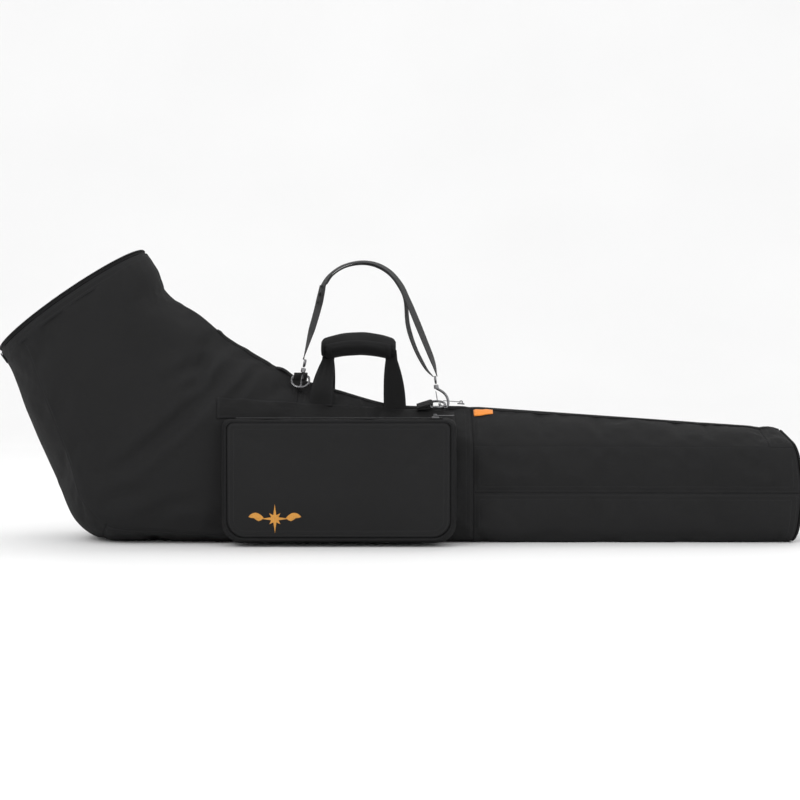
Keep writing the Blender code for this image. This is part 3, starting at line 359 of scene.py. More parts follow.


# the dust amount and colour also carry painted light from above on faces that look up
clothLook = {"dark": (0.0145, 0.0145, 0.0148), "light": (0.0205, 0.0205, 0.0210), "threads": 1300.0, "dustAndTopLight": 0.03,
             "dustAndTopLightColor": (0.10, 0.10, 0.105), "wear": 0.3, "worn": (0.028, 0.028, 0.030), "stitched": True,
             "thread": (0.022, 0.022, 0.0225), "rumple": 0.0012, "weaveStrength": 0.55, "rough": 0.78, "sheen": 0.0,
             "gloss": 0.10}
cloth = makeCloth("wovenNylon", clothLook)
liningCloth = makeCloth("liningCloth", {**clothLook, "dark": (0.02, 0.02, 0.022), "light": (0.035, 0.035, 0.038),
                                        "threads": 2000.0, "stitched": False, "rough": 0.85})
pipingCloth = makeCloth("pipingCloth", {**clothLook, "dark": (0.009, 0.009, 0.0092), "light": (0.013, 0.013, 0.0133),
                                        "stitched": False, "rumple": 0.0006, "rough": 0.7, "gloss": 0.08})
tapeCloth = makeCloth("zipTapeCloth", {**clothLook, "threads": 1900.0, "stitched": False, "rumple": 0.0003,
                                       "dark": (0.011, 0.011, 0.0113), "light": (0.016, 0.016, 0.0165)})
webLook = {"dark": (0.0110, 0.0110, 0.0113), "light": (0.0180, 0.0180, 0.0184), "ribs": 420.0, "wear": 0.4,
           "worn": (0.035, 0.035, 0.037), "thread": (0.018, 0.018, 0.019), "rough": 0.66, "depth": 1.0, "sheen": 0.0,
           "gloss": 0.14}
webbing = makeWebbing("ribbedWebbing", webLook)
strapWebbing = makeWebbing("strapWebbing", {**webLook, "dark": (0.020, 0.020, 0.0205), "light": (0.036, 0.036, 0.037),
                                            "ribs": 380.0, "gloss": 0.4})
steel = makeMetal("nickelledSteel", {"dark": (0.10, 0.10, 0.105), "light": (0.23, 0.23, 0.24), "rough": 0.26,
                                     "wear": 0.6, "worn": (0.50, 0.50, 0.51), "metallic": 1.0})
zinc = makeMetal("blackenedZinc", {"dark": (0.035, 0.035, 0.037), "light": (0.08, 0.08, 0.083), "rough": 0.38,
                                   "wear": 0.7, "worn": (0.35, 0.35, 0.36), "metallic": 1.0})
coil = makeMetal("zipCoil", {"dark": (0.008, 0.008, 0.009), "light": (0.016, 0.016, 0.017), "rough": 0.36,
                             "wear": 0.6, "worn": (0.06, 0.06, 0.062), "metallic": 0.0})
plastic = makeMetal("mouldedPlastic", {"dark": (0.008, 0.008, 0.008), "light": (0.014, 0.014, 0.014), "rough": 0.42,
                                       "wear": 0.5, "worn": (0.06, 0.06, 0.06), "metallic": 0.0})
goldThread = makeThread("goldThread", {"dark": (0.50, 0.19, 0.014), "light": (0.92, 0.44, 0.06), "rough": 0.45,
                                       "worn": (0.45, 0.18, 0.02), "threads": 520.0})
orangeTape = makeThread("orangeTape", {"dark": (0.80, 0.22, 0.01), "light": (1.0, 0.33, 0.02), "rough": 0.6,
                                       "worn": (0.7, 0.2, 0.01), "threads": 300.0})
print("materials made")

# the case's outer surface, as sections from the mouth to the tube's end

mouth = {"centre": Vector((-0.5545, 0, 0.400)), "radius": 0.1475, "tilt": math.radians(35.2), "band": 0.020}
across = Vector((math.cos(mouth["tilt"]), 0, math.sin(mouth["tilt"])))
outward = Vector((-math.sin(mouth["tilt"]), 0, math.cos(mouth["tilt"])))
tube = {"seam": 0.1215, "collar": 0.612, "end": 0.652, "lean": -0.0055, "bulge": 0.0145, "halfWidth": 0.095,
        "eave": 0.163, "ridge": 0.2233, "fall": 0.0705}
padding = 0.010
heel, neck, seam, collar, tubeEnd = 5, 8, 11, 15, 16


def ridgeHeight(x):
    return tube["ridge"] - tube["fall"] * (x - tube["seam"])


def sectionRows():
    top = mouth["centre"] + across * mouth["radius"]
    bottom = mouth["centre"] - across * mouth["radius"]
    down = -outward * mouth["band"]
    rows = [
        (top.x, top.z, bottom.x, bottom.z, mouth["radius"], 1.0),
        (top.x + down.x, top.z + down.z, bottom.x + down.x, bottom.z + down.z, mouth["radius"], 1.0),
        (-0.403, 0.424, -0.629, 0.218, 0.1472, 0.95), (-0.374, 0.396, -0.578, 0.102, 0.143, 0.80),
        (-0.340, 0.373, -0.544, 0.027, 0.138, 0.60), (-0.309, 0.351, -0.5015, 0.0, 0.133, 0.45),
        (-0.2635, 0.323, -0.408, 0.0, 0.125, 0.30), (-0.2125, 0.294, -0.289, 0.0, 0.116, 0.15),
        (-0.170, 0.272, -0.187, 0.0, 0.108, 0.05), (-0.1105, 0.2533, -0.1105, 0.0, 0.102, 0.0),
        (-0.0255, 0.2295, -0.0255, 0.0, 0.098, 0.0),
    ]
    for x in (tube["seam"], 0.204, 0.340, 0.510, tube["collar"]):
        rows.append((x, ridgeHeight(x), x, 0.0, tube["halfWidth"], 0.0))
    rows.append((tube["end"] + tube["lean"], ridgeHeight(tube["end"]), tube["end"], 0.0, tube["halfWidth"], 0.0))
    return rows


def fold(corner, before, after, radius, steps=14):
    a = (before - corner).normalized()
    b = (after - corner).normalized()
    half = a.angle(b) / 2
    centre = corner + (a + b).normalized() * radius / math.sin(half)
    first = corner + a * radius / math.tan(half) - centre
    last = corner + b * radius / math.tan(half) - centre
    turn = first.angle(last)
    return [centre + (first * math.sin((1 - i / steps) * turn) + last * math.sin(i / steps * turn)) / math.sin(turn)
            for i in range(steps + 1)]


def spread(points, share):
    lengths = [(b - a).length for a, b in zip(points, points[1:])]
    left = share * sum(lengths)
    for i, length in enumerate(lengths):
        if left <= length or i == len(lengths) - 1:
            return points[i].lerp(points[i + 1], left / length)
        left -= length


def houseParts(width, height, eave):
    # ridge to eave, eave to corner, corner to the middle of the bottom
    ridge, brow, corner = Vector((0, height)), Vector((width, eave)), Vector((width, 0))
    top = fold(ridge, Vector((-width, eave)), brow, 0.030)
    top = top[len(top) // 2:]
    drop = height - top[0].y
    top = [p + Vector((0, drop * (1 - i / (len(top) - 1)))) for i, p in enumerate(top)]
    bend = fold(brow, ridge, corner, 0.028)
    foot = fold(corner, brow, Vector((0, 0)), 0.026)
    middle, low = len(bend) // 2, len(foot) // 2
    return top + bend[:middle + 1], bend[middle:] + foot[:low + 1], foot[low:] + [Vector((0, 0))]


aroundStops = np.linspace(0, 3, 181)
sectionTurns = (0, 58, 128, 180)


def sectionCurve(row):
    topX, topZ, bottomX, bottomZ, width, roundness = row
    height = math.hypot(topX - bottomX, topZ - bottomZ)
    eave = tube["eave"] if topX >= tube["seam"] else height - min(0.29 * height, height - tube["eave"])
    parts = houseParts(width, height, eave)
    low = Vector((bottomX, 0, bottomZ))
    rise = (Vector((topX, 0, topZ)) - low).normalized()
    points = []
    for around in aroundStops:
        run = min(int(around), 2)
        share = around - run
        turn = math.radians(sectionTurns[run] + share * (sectionTurns[run + 1] - sectionTurns[run]))
        flat = Vector((width * math.sin(turn), height * (1 + math.cos(turn)) / 2))
        if roundness < 1:
            flat = spread(parts[run], share).lerp(flat, roundness)
        point = low + rise * flat.y
        points.append((point.x, flat.x, point.z, flat.y / height))
    return points


sections = np.array([sectionCurve(row) for row in sectionRows()])


def stationDistances():
    middle = sections[:, :, :3].mean(axis=1)
    return np.concatenate([[0], np.cumsum(np.linalg.norm(np.diff(middle, axis=0), axis=1))])


stationAt = stationDistances()


def sectionSlopes():
    steps = np.diff(stationAt)[:, None, None]
    rates = np.diff(sections, axis=0) / steps
    slopes = np.empty_like(sections)
    slopes[0], slopes[-1] = rates[0], rates[-1]
    slopes[1:-1] = (rates[1:] * steps[:-1] + rates[:-1] * steps[1:]) / (steps[1:] + steps[:-1])
    slopes[1] = rates[0] # the band under the mouth stays straight
    for i in range(seam, collar + 1):
        slopes[i] = rates[min(i, len(rates) - 1)]
    return slopes


slopes = sectionSlopes()


def surface(along, around):
    shape = np.broadcast(along, around).shape
    along = np.broadcast_to(along, shape).astype(float)
    around = np.broadcast_to(around, shape).astype(float)
    side = np.where((around < 0) | (around > 3), 1.0, -1.0)
    turn = np.where(around > 3, 6 - around, np.abs(around))
    span = np.clip(along.astype(int), 0, len(sections) - 2)
    t = (along - span)[..., None]
    column = np.clip(turn * 60, 0, 179.9999)
    low = column.astype(int)
    part = (column - low)[..., None]
    h = np.diff(stationAt)[span][..., None]

    def pick(table, row):
        return table[row, low] * (1 - part) + table[row, low + 1] * part

    p0, p1, m0, m1 = pick(sections, span), pick(sections, span + 1), pick(slopes, span), pick(slopes, span + 1)
    point = ((2 * t**3 - 3 * t**2 + 1) * p0 + (t**3 - 2 * t**2 + t) * h * m0
             + (3 * t**2 - 2 * t**3) * p1 + (t**3 - t**2) * h * m1)
    reach = np.clip((along - collar + 1) / (tubeEnd - collar + 1), 0, 1.2)
    level = np.clip(point[..., 3], 0, 1)
    x = point[..., 0] + np.where(along > collar - 1, tube["bulge"] * reach**3 * 4 * level * (1 - level), 0)
    return np.stack([x, side * np.maximum(point[..., 1], 0), np.maximum(point[..., 2], 0.0003)], axis=-1)


def gridNormals(points, middle):
    one = np.gradient(points, axis=0)
    two = np.gradient(points, axis=1)
    normal = np.cross(one, two)
    normal /= np.maximum(np.linalg.norm(normal, axis=-1, keepdims=True), 1e-9)
    out = np.sign((normal * (points - middle)).sum())
    return normal * (out if out else 1)


def measured(low, high, place, step, seams=True):
    # stops between low and high, step metres apart, closer together next to the seams at either end
    fine = np.linspace(low, high, 400)
    line = place(fine)
    reach = np.concatenate([[0], np.cumsum(np.linalg.norm(np.diff(line, axis=0), axis=1))])
    length = reach[-1]
    near = np.array([0, 0.0009, 0.0022, 0.0040, 0.0065]) if seams else np.array([0.0])
    middle = np.linspace(near[-1], length - near[-1], max(int(length / step), 3))
    stops = np.concatenate([near[:-1], middle, (length - near[:-1])[::-1]])
    return np.interp(stops, reach, fine), stops


def lumps(points, scale, seed):
    flat = points.reshape(-1, 3)
    shift = Vector((seed * 3.1, seed * 1.7, seed * 0.9))
    values = [noise.noise(Vector(p) * scale + shift) for p in flat]
    return np.array(values).reshape(points.shape[:-1])


def link(obj):
    bpy.context.scene.collection.objects.link(obj)
    return obj


def meshPiece(name, points, faces, materials, uv=None, seamUv=None, second=None, smooth=True):
    mesh = bpy.data.meshes.new(name)
    mesh.from_pydata([tuple(p) for p in points], [], [tuple(int(i) for i in f) for f in faces])
    for made in materials:
        mesh.materials.append(made)
    index = np.empty(len(mesh.loops), np.int32)
    mesh.loops.foreach_get("vertex_index", index)
    for layer, values in (("UVMap", uv), ("seam", seamUv)):
        if values is not None:
            mesh.uv_layers.new(name=layer).data.foreach_set("uv", np.asarray(values, np.float32)[index].ravel())
    if second is not None:
        mesh.polygons.foreach_set("material_index", np.asarray(second, np.int32))
    mesh.validate()
    if smooth:
        mesh.shade_smooth()
    return link(bpy.data.objects.new(name, mesh))


def gridFaces(rows, columns, start=0, flip=False, ring=False):
    r, c = np.meshgrid(np.arange(rows - 1), np.arange(columns if ring else columns - 1), indexing="ij")
    d = (c + 1) % columns
    quads = np.stack([r * columns + c, r * columns + d, (r + 1) * columns + d, (r + 1) * columns + c], -1)
    quads = quads.reshape(-1, 4) + start
    return quads[:, ::-1] if flip else quads


def borderOf(rows, columns):
    top = [c for c in range(columns)]
    right = [r * columns + columns - 1 for r in range(1, rows)]
    bottom = [(rows - 1) * columns + c for c in range(columns - 2, -1, -1)]
    left = [r * columns for r in range(rows - 2, 0, -1)]
    return top + right + bottom + left


def slabPiece(name, outer, inner, materials, uv, seamUv):
    # a cloth panel with its outer face, its lining and the turned edge between them
    rows, columns = outer.shape[:2]
    count = rows * columns
    faces = gridFaces(rows, columns)
    mid = (rows // 2, columns // 2)
    a = outer[mid]
    turn = np.cross(outer[mid[0], mid[1] + 1] - a, outer[mid[0] + 1, mid[1]] - a)
    flip = np.dot(turn, a - inner[mid]) < 0
    outFaces = faces[:, ::-1] if flip else faces
    inFaces = (faces if flip else faces[:, ::-1]) + count
    border = borderOf(rows, columns)
    rim = []
    for i, j in zip(border, border[1:] + border[:1]):
        rim.append((i, j, j + count, i + count) if flip else (j, i, i + count, j + count))
    everything = np.concatenate([outFaces, inFaces, np.array(rim)])
    second = np.zeros(len(everything), int)
    second[len(outFaces):len(outFaces) + len(inFaces)] = 1
    points = np.concatenate([outer.reshape(-1, 3), inner.reshape(-1, 3)])
    uvs = np.concatenate([uv.reshape(-1, 2)] * 2)
    seams = np.concatenate([seamUv.reshape(-1, 2), np.full((count, 2), 0.5)])
    return meshPiece(name, points, everything, materials, uvs, seams, second)


def place(piece, body, slot, *replaced):
    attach(piece, body)
    if replaced:
        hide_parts(*replaced)
    return piece


# padded panels

billowing = {"step": 0.012, "frames": 16, "pressure": 2.0, "growth": 0.012, "cap": 0.0055}


def billow(along, around):
    # how far the cloth of a panel swells out between its seams, by cloth simulation on a coarse grid
    base = surface(along[:, None], around[None, :])
    field = np.zeros(base.shape[:2])
    rows, columns = field.shape
    middle = base.reshape(-1, 3).mean(axis=0)
    middle[1] *= 0.2
    middle[2] = min(middle[2], 0.12) if middle[0] > -0.2 else middle[2]
    normal = gridNormals(base, middle)
    faces = gridFaces(rows, columns)
    a, b, d = base[0, 0], base[0, 1], base[1, 0]
    if np.dot(np.cross(b - a, d - a), normal[0, 0]) < 0:
        faces = faces[:, ::-1]
    piece = meshPiece("billowing", base.reshape(-1, 3), faces, [])
    piece.vertex_groups.new(name="sewn").add(borderOf(rows, columns), 1.0, "REPLACE")
    made = piece.modifiers.new("cloth", "CLOTH")
    made.settings.vertex_group_mass = "sewn"
    made.settings.mass = 0.25
    made.settings.use_pressure = True
    made.settings.uniform_pressure_force = billowing["pressure"]
    made.settings.shrink_min = made.settings.shrink_max = -billowing["growth"]
    made.settings.effector_weights.gravity = 0
    made.collision_settings.use_collision = False
    made.point_cache.frame_start, made.point_cache.frame_end = 1, billowing["frames"]
    for i in range(1, billowing["frames"] + 1):
        bpy.context.scene.frame_set(i)
    graph = bpy.context.evaluated_depsgraph_get()
    mesh = piece.evaluated_get(graph).to_mesh()
    moved = np.empty(len(mesh.vertices) * 3, np.float32)
    mesh.vertices.foreach_get("co", moved)
    bpy.data.objects.remove(piece)
    bpy.context.scene.frame_set(1)
    field = ((moved.reshape(base.shape) - base) * normal).sum(axis=-1)
    return np.clip(field, -billowing["cap"], billowing["cap"])


def regrid(field, fromRows, fromColumns, rows, columns):
    half = np.array([np.interp(columns, fromColumns, line) for line in field])
    return np.array([np.interp(rows, fromRows, line) for line in half.T]).T


# folds in the front cloth: X and Z along each fold, its half width, and how deep it goes
frontFolds = (
    (((-0.318, 0.354), (-0.333, 0.267), (-0.367, 0.246)), 0.010, 0.0036),
    (((-0.263, 0.316), (-0.299, 0.267), (-0.367, 0.201), (-0.437, 0.143), (-0.476, 0.114)), 0.013, 0.0042),
    (((-0.285, 0.330), (-0.330, 0.300), (-0.400, 0.262)), 0.011, 0.0022),
    (((-0.236, 0.300), (-0.262, 0.258), (-0.300, 0.225)), 0.008, 0.0022),
    (((-0.500, 0.060), (-0.455, 0.085), (-0.400, 0.092)), 0.014, 0.0020),
    (((-0.420, 0.050), (-0.370, 0.070), (-0.330, 0.072)), 0.012, 0.0018),
    (((0.150, 0.140), (0.190, 0.128), (0.235, 0.131)), 0.010, 0.0012),
    (((0.560, 0.140), (0.600, 0.125), (0.635, 0.118)), 0.009, 0.0014),
)


def folded(points):
    # a valley along each fold with a soft ridge on both sides, fading at its ends
    moved = np.zeros(points.shape[:-1])
    flat = points[..., [0, 2]]
    for line, width, depth in frontFolds:
        best = np.full(moved.shape, 9.0)
        fade = np.zeros(moved.shape)
        count = len(line) - 1
        for i in range(count):
            a, b = np.array(line[i]), np.array(line[i + 1])
            share = np.clip(((flat - a) * (b - a)).sum(-1) / ((b - a) ** 2).sum(), 0, 1)
            away = np.linalg.norm(flat - (a + share[..., None] * (b - a)), axis=-1)
            closer = away < best
            best = np.where(closer, away, best)
            fade = np.where(closer, np.sin(math.pi * np.clip((i + share) / count, 0.04, 0.96)), fade)
        q = best / width
        moved += 1.6 * depth * fade * (-np.exp(-q**2) + 0.55 * np.exp(-(q - 1.7)**2))
    return np.where(points[..., 1] < -0.02, moved, 0)


puckering = {"pitch": 46.0, "depth": 0.0011, "reach": 0.026}


def puckers(alongEdge, away, seed):
    # short pleats square to a seam, deepest at the stitches
    values = [noise.noise(Vector((s * puckering["pitch"], d * 14.0, seed))) for s, d in
              zip(alongEdge.ravel(), away.ravel())]
    return np.array(values).reshape(away.shape) * puckering["depth"] * 2 * np.exp(-away / puckering["reach"])


def ridgeLift(x):
    # the cloth stands up a little where the neck's zip begins
    return 0.007 * np.exp(-((x + 0.345) / 0.038) ** 2)


relief = {"lumps": 0.0016, "fineLumps": 0.0006, "seamRoll": 0.0014, "rollReach": 0.0040, "heldBy": 0.006,
          "softRoll": 0.3, "lowest": 0.0003}


def casePanel(name, look, body, node):
    (first, last), (low, high) = look["along"], look["around"]
    centre = (low + high) / 2
    along, u = measured(first, last, lambda a: surface(a, np.full_like(a, centre)), 0.0055)
    around, v = measured(low, high, lambda r: surface(np.full_like(r, (first + last) / 2), r), 0.0055)
    base = surface(along[:, None], around[None, :])
    middle = base.reshape(-1, 3).mean(axis=0)
    middle[1] *= 0.2
    middle[2] = min(middle[2], 0.12) if middle[0] > -0.2 else middle[2]
    normal = gridNormals(base, middle)
    uu, vv = np.meshgrid(u, v, indexing="ij")
    edges = [(vv, uu), (vv, u[-1] - uu), (uu, vv), (uu, v[-1] - vv)]
    puff = np.ones_like(uu) * look["puff"]
    for _, away in edges:
        puff *= 1 - np.exp(-(away / look["reach"]) ** 2)
    moved = puff + lumps(base, 9.0, look["seed"]) * relief["lumps"]
    moved += lumps(base, 26.0, look["seed"] + 5) * relief["fineLumps"]
    for i, (s, away) in enumerate(edges):
        moved += puckers(s, away, look["seed"] + i)
    coarse = [np.linspace(ends[0], ends[1], max(int(size / billowing["step"]), 6))
              for ends, size in ((look["along"], u[-1]), (look["around"], v[-1]))]
    moved += regrid(billow(*coarse), *coarse, along, around)
    moved += folded(base)
    nearest = np.min([away for _, away in edges], axis=0)
    moved *= 1 - np.exp(-(nearest / relief["heldBy"]) ** 2)
    which = np.argmin([away for _, away in edges], axis=0)
    soft = np.isin(which, look["soft"])
    rolled = np.clip(1 - nearest / relief["rollReach"], 0, 1) ** 2
    moved -= relief["seamRoll"] * rolled * np.where(soft, relief["softRoll"], 1)
    outer = base + normal * moved[..., None]
    outer[..., 2] += ridgeLift(base[..., 0]) * np.clip(1 - np.abs(around), 0, 1)[None, :] ** 2
    outer[..., 2] = np.maximum(outer[..., 2], relief["lowest"])
    inner = base - normal * padding
    run = np.choose(which, [s for s, _ in edges])
    seams = np.stack([run, np.where(soft, 0.5, nearest)], -1)
    piece = slabPiece(name, outer, inner, [cloth, liningCloth], np.stack([uu, vv], -1), seams)
    place(piece, body, "black_cloth", node)
    return piece


panelKeys = ("along", "around", "soft", "puff", "reach", "seed")
panels = (
    ("bellFront", "case", "bell_front_panel", (0, neck), (0.0, 2), (3,), 0.0030, 0.060, 1),
    ("bellBack", "case", "bell_back_panel", (0, neck), (-2, 0.0), (2,), 0.0030, 0.060, 2),
    ("bellUnder", "case", "bell_under_panel", (0, heel), (2, 4), (2, 3), 0.0020, 0.060, 3),
    ("neckFront", "case", "neck_front_panel", (neck, seam), (0.0, 2), (2, 3), 0.0025, 0.050, 4),
    ("neckBack", "case", "neck_back_panel", (neck, seam), (-2, 0.0), (2, 3), 0.0025, 0.050, 5),
    ("neckBase", "case", "neck_base_panel", (heel, seam), (2, 4), (), 0.0010, 0.050, 6),
    ("tubeLower", "case", "tube_lower_panel", (seam, tubeEnd), (1.5, 4.5), (), 0.0022, 0.035, 7),
    ("tubeFrontSide", "case", "tube_front_side_panel", (seam, tubeEnd), (1, 1.5), (2,), 0.0028, 0.026, 8),
    ("tubeBackSide", "case", "tube_back_side_panel", (seam, tubeEnd), (-1.5, -1), (3,), 0.0028, 0.026, 9),
    ("tubeFrontRoof", "front_roof", "tube_front_roof_panel", (seam, collar), (0.0, 1), (2, 3), 0.0028, 0.040, 10),
    ("tubeBackRoof", "back_roof", "tube_back_roof_panel", (seam, collar), (-1, 0.0), (2, 3), 0.0028, 0.040, 11),
    ("tubeCollar", "case", "tube_roof_collar", (collar, tubeEnd), (-1, 1), (), 0.0012, 0.020, 12),
)
cases = {name: casePanel(name, dict(zip(panelKeys, look)), body, node) for name, body, node, *look in panels}
print("padded panels made")


def treeOf(*names):
    points, faces = [], []
    for name in names:
        mesh = cases[name].data
        start = len(points)
        points += [v.co.copy() for v in mesh.vertices]
        faces += [[start + i for i in poly.vertices] for poly in mesh.polygons]
    return BVHTree.FromPolygons(points, faces)


trees = {-1: treeOf("bellFront", "neckFront", "bellUnder", "neckBase"),
         1: treeOf("bellBack", "neckBack", "bellUnder", "neckBase")}


def ground(side, x, z):
    hit, normal, _, _ = trees[side].ray_cast(Vector((x, side * 0.4, z)), Vector((0, -side, 0)))
    return hit, normal if normal.y * side > 0 else -normal


def smoothPath(points, steps):
    padded = [points[0] * 2 - points[1], *points, points[-1] * 2 - points[-2]]
    path = []
    for i in range(1, len(padded) - 2):
        a, b, c, d = padded[i - 1:i + 3]
        for k in range(steps):
            t = k / steps
            path.append(0.5 * (2 * b + (c - a) * t + (2 * a - 5 * b + 4 * c - d) * t * t
                               + (3 * b - 3 * c + d - a) * t**3))
    return path + [points[-1]]


# webs, cords of piping and zips

webSection = ((-1, -0.30), (-0.94, -0.5), (-0.5, -0.5), (0, -0.5), (0.5, -0.5), (0.94, -0.5),
              (1, -0.30), (1, 0.30), (0.94, 0.5), (0.5, 0.5), (0, 0.5), (-0.5, 0.5), (-0.94, 0.5), (-1, 0.30))


def webPiece(name, path, sides, thickness, made):
    # a flat web with rounded edges along a path
    loops, uv, seamUv, run = [], [], [], 0.0
    for i, point in enumerate(path):
        if i:
            run += (path[i] - path[i - 1]).length
        ahead = path[min(i + 1, len(path) - 1)] - path[max(i - 1, 0)]
        half = sides[i]
        lift = ahead.cross(half).normalized() * thickness
        for a, b in webSection:
            loops.append(point + half * a + lift * b)
            uv.append((run, half.length * a))
            seamUv.append((run, half.length * (1 - abs(a))))
    count = len(webSection)
    faces = [list(f) for f in gridFaces(len(path), count, ring=True)]
    faces += [list(range(count))[::-1], list(range(len(loops) - count, len(loops)))]
    piece = meshPiece(name, loops, faces, [made], uv, seamUv)
    piece.data.set_sharp_from_angle(angle=math.radians(60))
    return piece


def roundPiece(name, path, radius, made, cyclic=True, sides=10):
    # a round cord along a path, with the small twist-free frame that a piping has
    loops, uv, run, sideways = [], [], 0.0, None
    count = len(path)
    for i in range(count):
        point = path[i]
        before = path[i - 1] if cyclic or i else point
        after = path[(i + 1) % count] if cyclic or i < count - 1 else point
        ahead = (after - before).normalized()
        if sideways is None:
            sideways = ahead.orthogonal()
        sideways = (sideways - ahead * sideways.dot(ahead)).normalized()
        other = ahead.cross(sideways)
        run += (point - before).length
        for k in range(sides):
            t = 2 * math.pi * k / sides
            loops.append(point + (sideways * math.cos(t) + other * math.sin(t)) * radius)
            uv.append((run, radius * t))
    faces = [list(f) for f in gridFaces(count, sides, ring=True)]
    if cyclic:
        last = (count - 1) * sides
        faces += [[last + k, last + (k + 1) % sides, (k + 1) % sides, k] for k in range(sides)]
    else:
        faces += [list(range(sides))[::-1], list(range(len(loops) - sides, len(loops)))]
    piece = meshPiece(name, loops, faces, [made], uv)
    return piece


def tooth(points, uv, faces, foot, along, out, sign):
    # one moulded tooth, reaching inwards from its side of the zip
    start = len(points)
    sideways = along.cross(out) * sign
    for z, draw in ((0.0008, 0.0), (0.0021, 0.0001), (0.0026, 0.00035)):
        for x, y in ((-0.00075 + draw, -0.0003), (0.00075 - draw, -0.0003), (0.00075 - draw, 0.0026 - draw),
                     (-0.00075 + draw, 0.0026 - draw)):
            points.append(foot + along * x + sideways * y + out * z)
            uv.append((x, y))
    for level in (0, 4):
        for k in range(4):
            faces.append([start + level + k, start + level + (k + 1) % 4,
                          start + level + 4 + (k + 1) % 4, start + level + 4 + k])
    faces.append([start + 8, start + 9, start + 10, start + 11])
    return [1] * 9


def zipPiece(name, rows, sideSign, widths, body, slot, *replaced):
    # rows: (point, out, sideways) along the zip; a woven tape with a moulded coil along its inner edge
    points, uv, faces, second = [], [], [], []
    run = 0.0
    for i, (point, out, sideways) in enumerate(rows):
        if i:
            run += (rows[i][0] - rows[i - 1][0]).length
        for w in widths:
            points.append(point + sideways * w + out * 0.0012)
            uv.append((run, w))
        for w in reversed(widths):
            points.append(point + sideways * w)
            uv.append((run, w))
    count = 2 * len(widths)
    faces += [list(f) for f in gridFaces(len(rows), count, ring=True)]
    second += [0] * len(faces)
    travelled, due = 0.0, 0.0
    for i in range(1, len(rows)):
        a, b = rows[i - 1], rows[i]
        length = (b[0] - a[0]).length
        while due < travelled + length:
            t = (due - travelled) / length
            point = a[0].lerp(b[0], t)
            out = a[1].lerp(b[1], t)
            along = (b[0] - a[0]).normalized()
            signs = (1, -1) if sideSign == 0 else (sideSign,)
            for sign in signs:
                shift = along * (0.00115 if sign < 0 else 0)
                second += tooth(points, uv, faces, point + shift, along, out, sign)
            due += 0.0023
        travelled += length
    piece = meshPiece(name, points, faces, [tapeCloth, coil], uv, None, second)
    piece.data.set_sharp_from_angle(angle=math.radians(50))
    return place(piece, body, slot, *replaced)


roofTrees = {-1: treeOf("bellFront", "neckFront", "tubeFrontRoof", "tubeCollar"),
             1: treeOf("bellBack", "neckBack", "tubeBackRoof", "tubeCollar")}


def overRoof(side, point, lift):
    # a point's own place across the ridge, laid on the cloth below it
    probe = Vector((point.x, point.y if abs(point.y) > 0.0015 else 0.0015 * side, point.z)) + lift * 0.04
    hit, _, _, _ = roofTrees[side].ray_cast(probe, -lift)
    return point if hit is None else point + lift * (hit - point).dot(lift)


def ridgeRows(first, last, widths):
    # for each stop the way out from the ridge, and the tape's points lying across it
    stops, _ = measured(first, last, lambda a: surface(a, np.zeros_like(a)), 0.006, False)
    points = surface(stops, np.zeros_like(stops))
    rows = []
    for i, p in enumerate(points):
        ahead = Vector(points[min(i + 1, len(points) - 1)] - points[max(i - 1, 0)])
        lift = Vector((-ahead.z, 0, ahead.x)).normalized()
        middle = Vector((p[0], 0, p[2]))
        laid = [overRoof(-1 if w < 0 else 1, middle + Vector((0, w, 0)), lift) for w in widths]
        rows.append((lift, laid))
    for turn in range(2):
        for k in range(len(widths)):
            levels = [row[1][k].dot(row[0]) for row in rows]
            for i in range(1, len(rows) - 1):
                smooth = (levels[i - 1] + levels[i] + levels[i + 1]) / 3
                rows[i][1][k] = rows[i][1][k] + rows[i][0] * (smooth - levels[i])
    return rows


tape = {"top": 0.0014, "bottom": 0.0002, "toothPitch": 0.0023, "toothStagger": 0.00115, "toothSink": 0.0009}


def ridgeZip(name, rows, signs, body, *replaced):
    # a thin tape that follows the cloth, with the coil's teeth along the ridge
    points, uv, faces, second, run = [], [], [], [], 0.0
    count = len(rows[0][1])
    for i, (lift, laid) in enumerate(rows):
        run += (laid[0] - rows[i - 1][1][0]).length if i else 0
        points += [p + lift * tape["top"] for p in laid] + [p + lift * tape["bottom"] for p in reversed(laid)]
        uv += [(run, p.y) for p in laid] + [(run, p.y) for p in reversed(laid)]
    faces += [list(f) for f in gridFaces(len(rows), 2 * count, ring=True)]
    second += [0] * len(faces)
    crest = min(range(count), key=lambda k: abs(rows[0][1][k].y))
    due, travelled = 0.0, 0.0
    for (lift, a), (_, b) in zip(rows, rows[1:]):
        length = (b[crest] - a[crest]).length
        along = (b[crest] - a[crest]).normalized()
        while due < travelled + length:
            middle = a[crest].lerp(b[crest], (due - travelled) / length)
            middle.y = 0
            middle -= lift * tape["toothSink"]
            for sign in signs:
                foot = middle + along * (tape["toothStagger"] if sign < 0 else 0)
                second += tooth(points, uv, faces, foot, along, lift, sign)
            due += tape["toothPitch"]
        travelled += length
    piece = meshPiece(name, points, faces, [tapeCloth, coil], uv, None, second)
    piece.data.set_sharp_from_angle(angle=math.radians(50))
    return place(piece, body, "zip_tape", *replaced)


def makeRidgeZips():
    wide = (-0.0098, -0.0065, -0.003, 0.003, 0.0065, 0.0098)
    half = (0.0004, 0.0035, 0.007, 0.0105)
    ridgeZip("neckZip", ridgeRows(4.9, seam - 0.002, wide), (1, -1), "case", "ridge_zip_tape")
    ridgeZip("tubeFrontZip", ridgeRows(seam + 0.004, collar - 0.004, tuple(-w for w in reversed(half))), (-1,),
             "front_roof", "tube_front_zip_tape")
    ridgeZip("tubeBackZip", ridgeRows(seam + 0.004, collar - 0.004, half), (1,), "back_roof", "tube_back_zip_tape")
    ridgeZip("collarZip", ridgeRows(collar + 0.004, tubeEnd - 0.01, wide), (1, -1), "case", "collar_zip_tape")


makeRidgeZips()


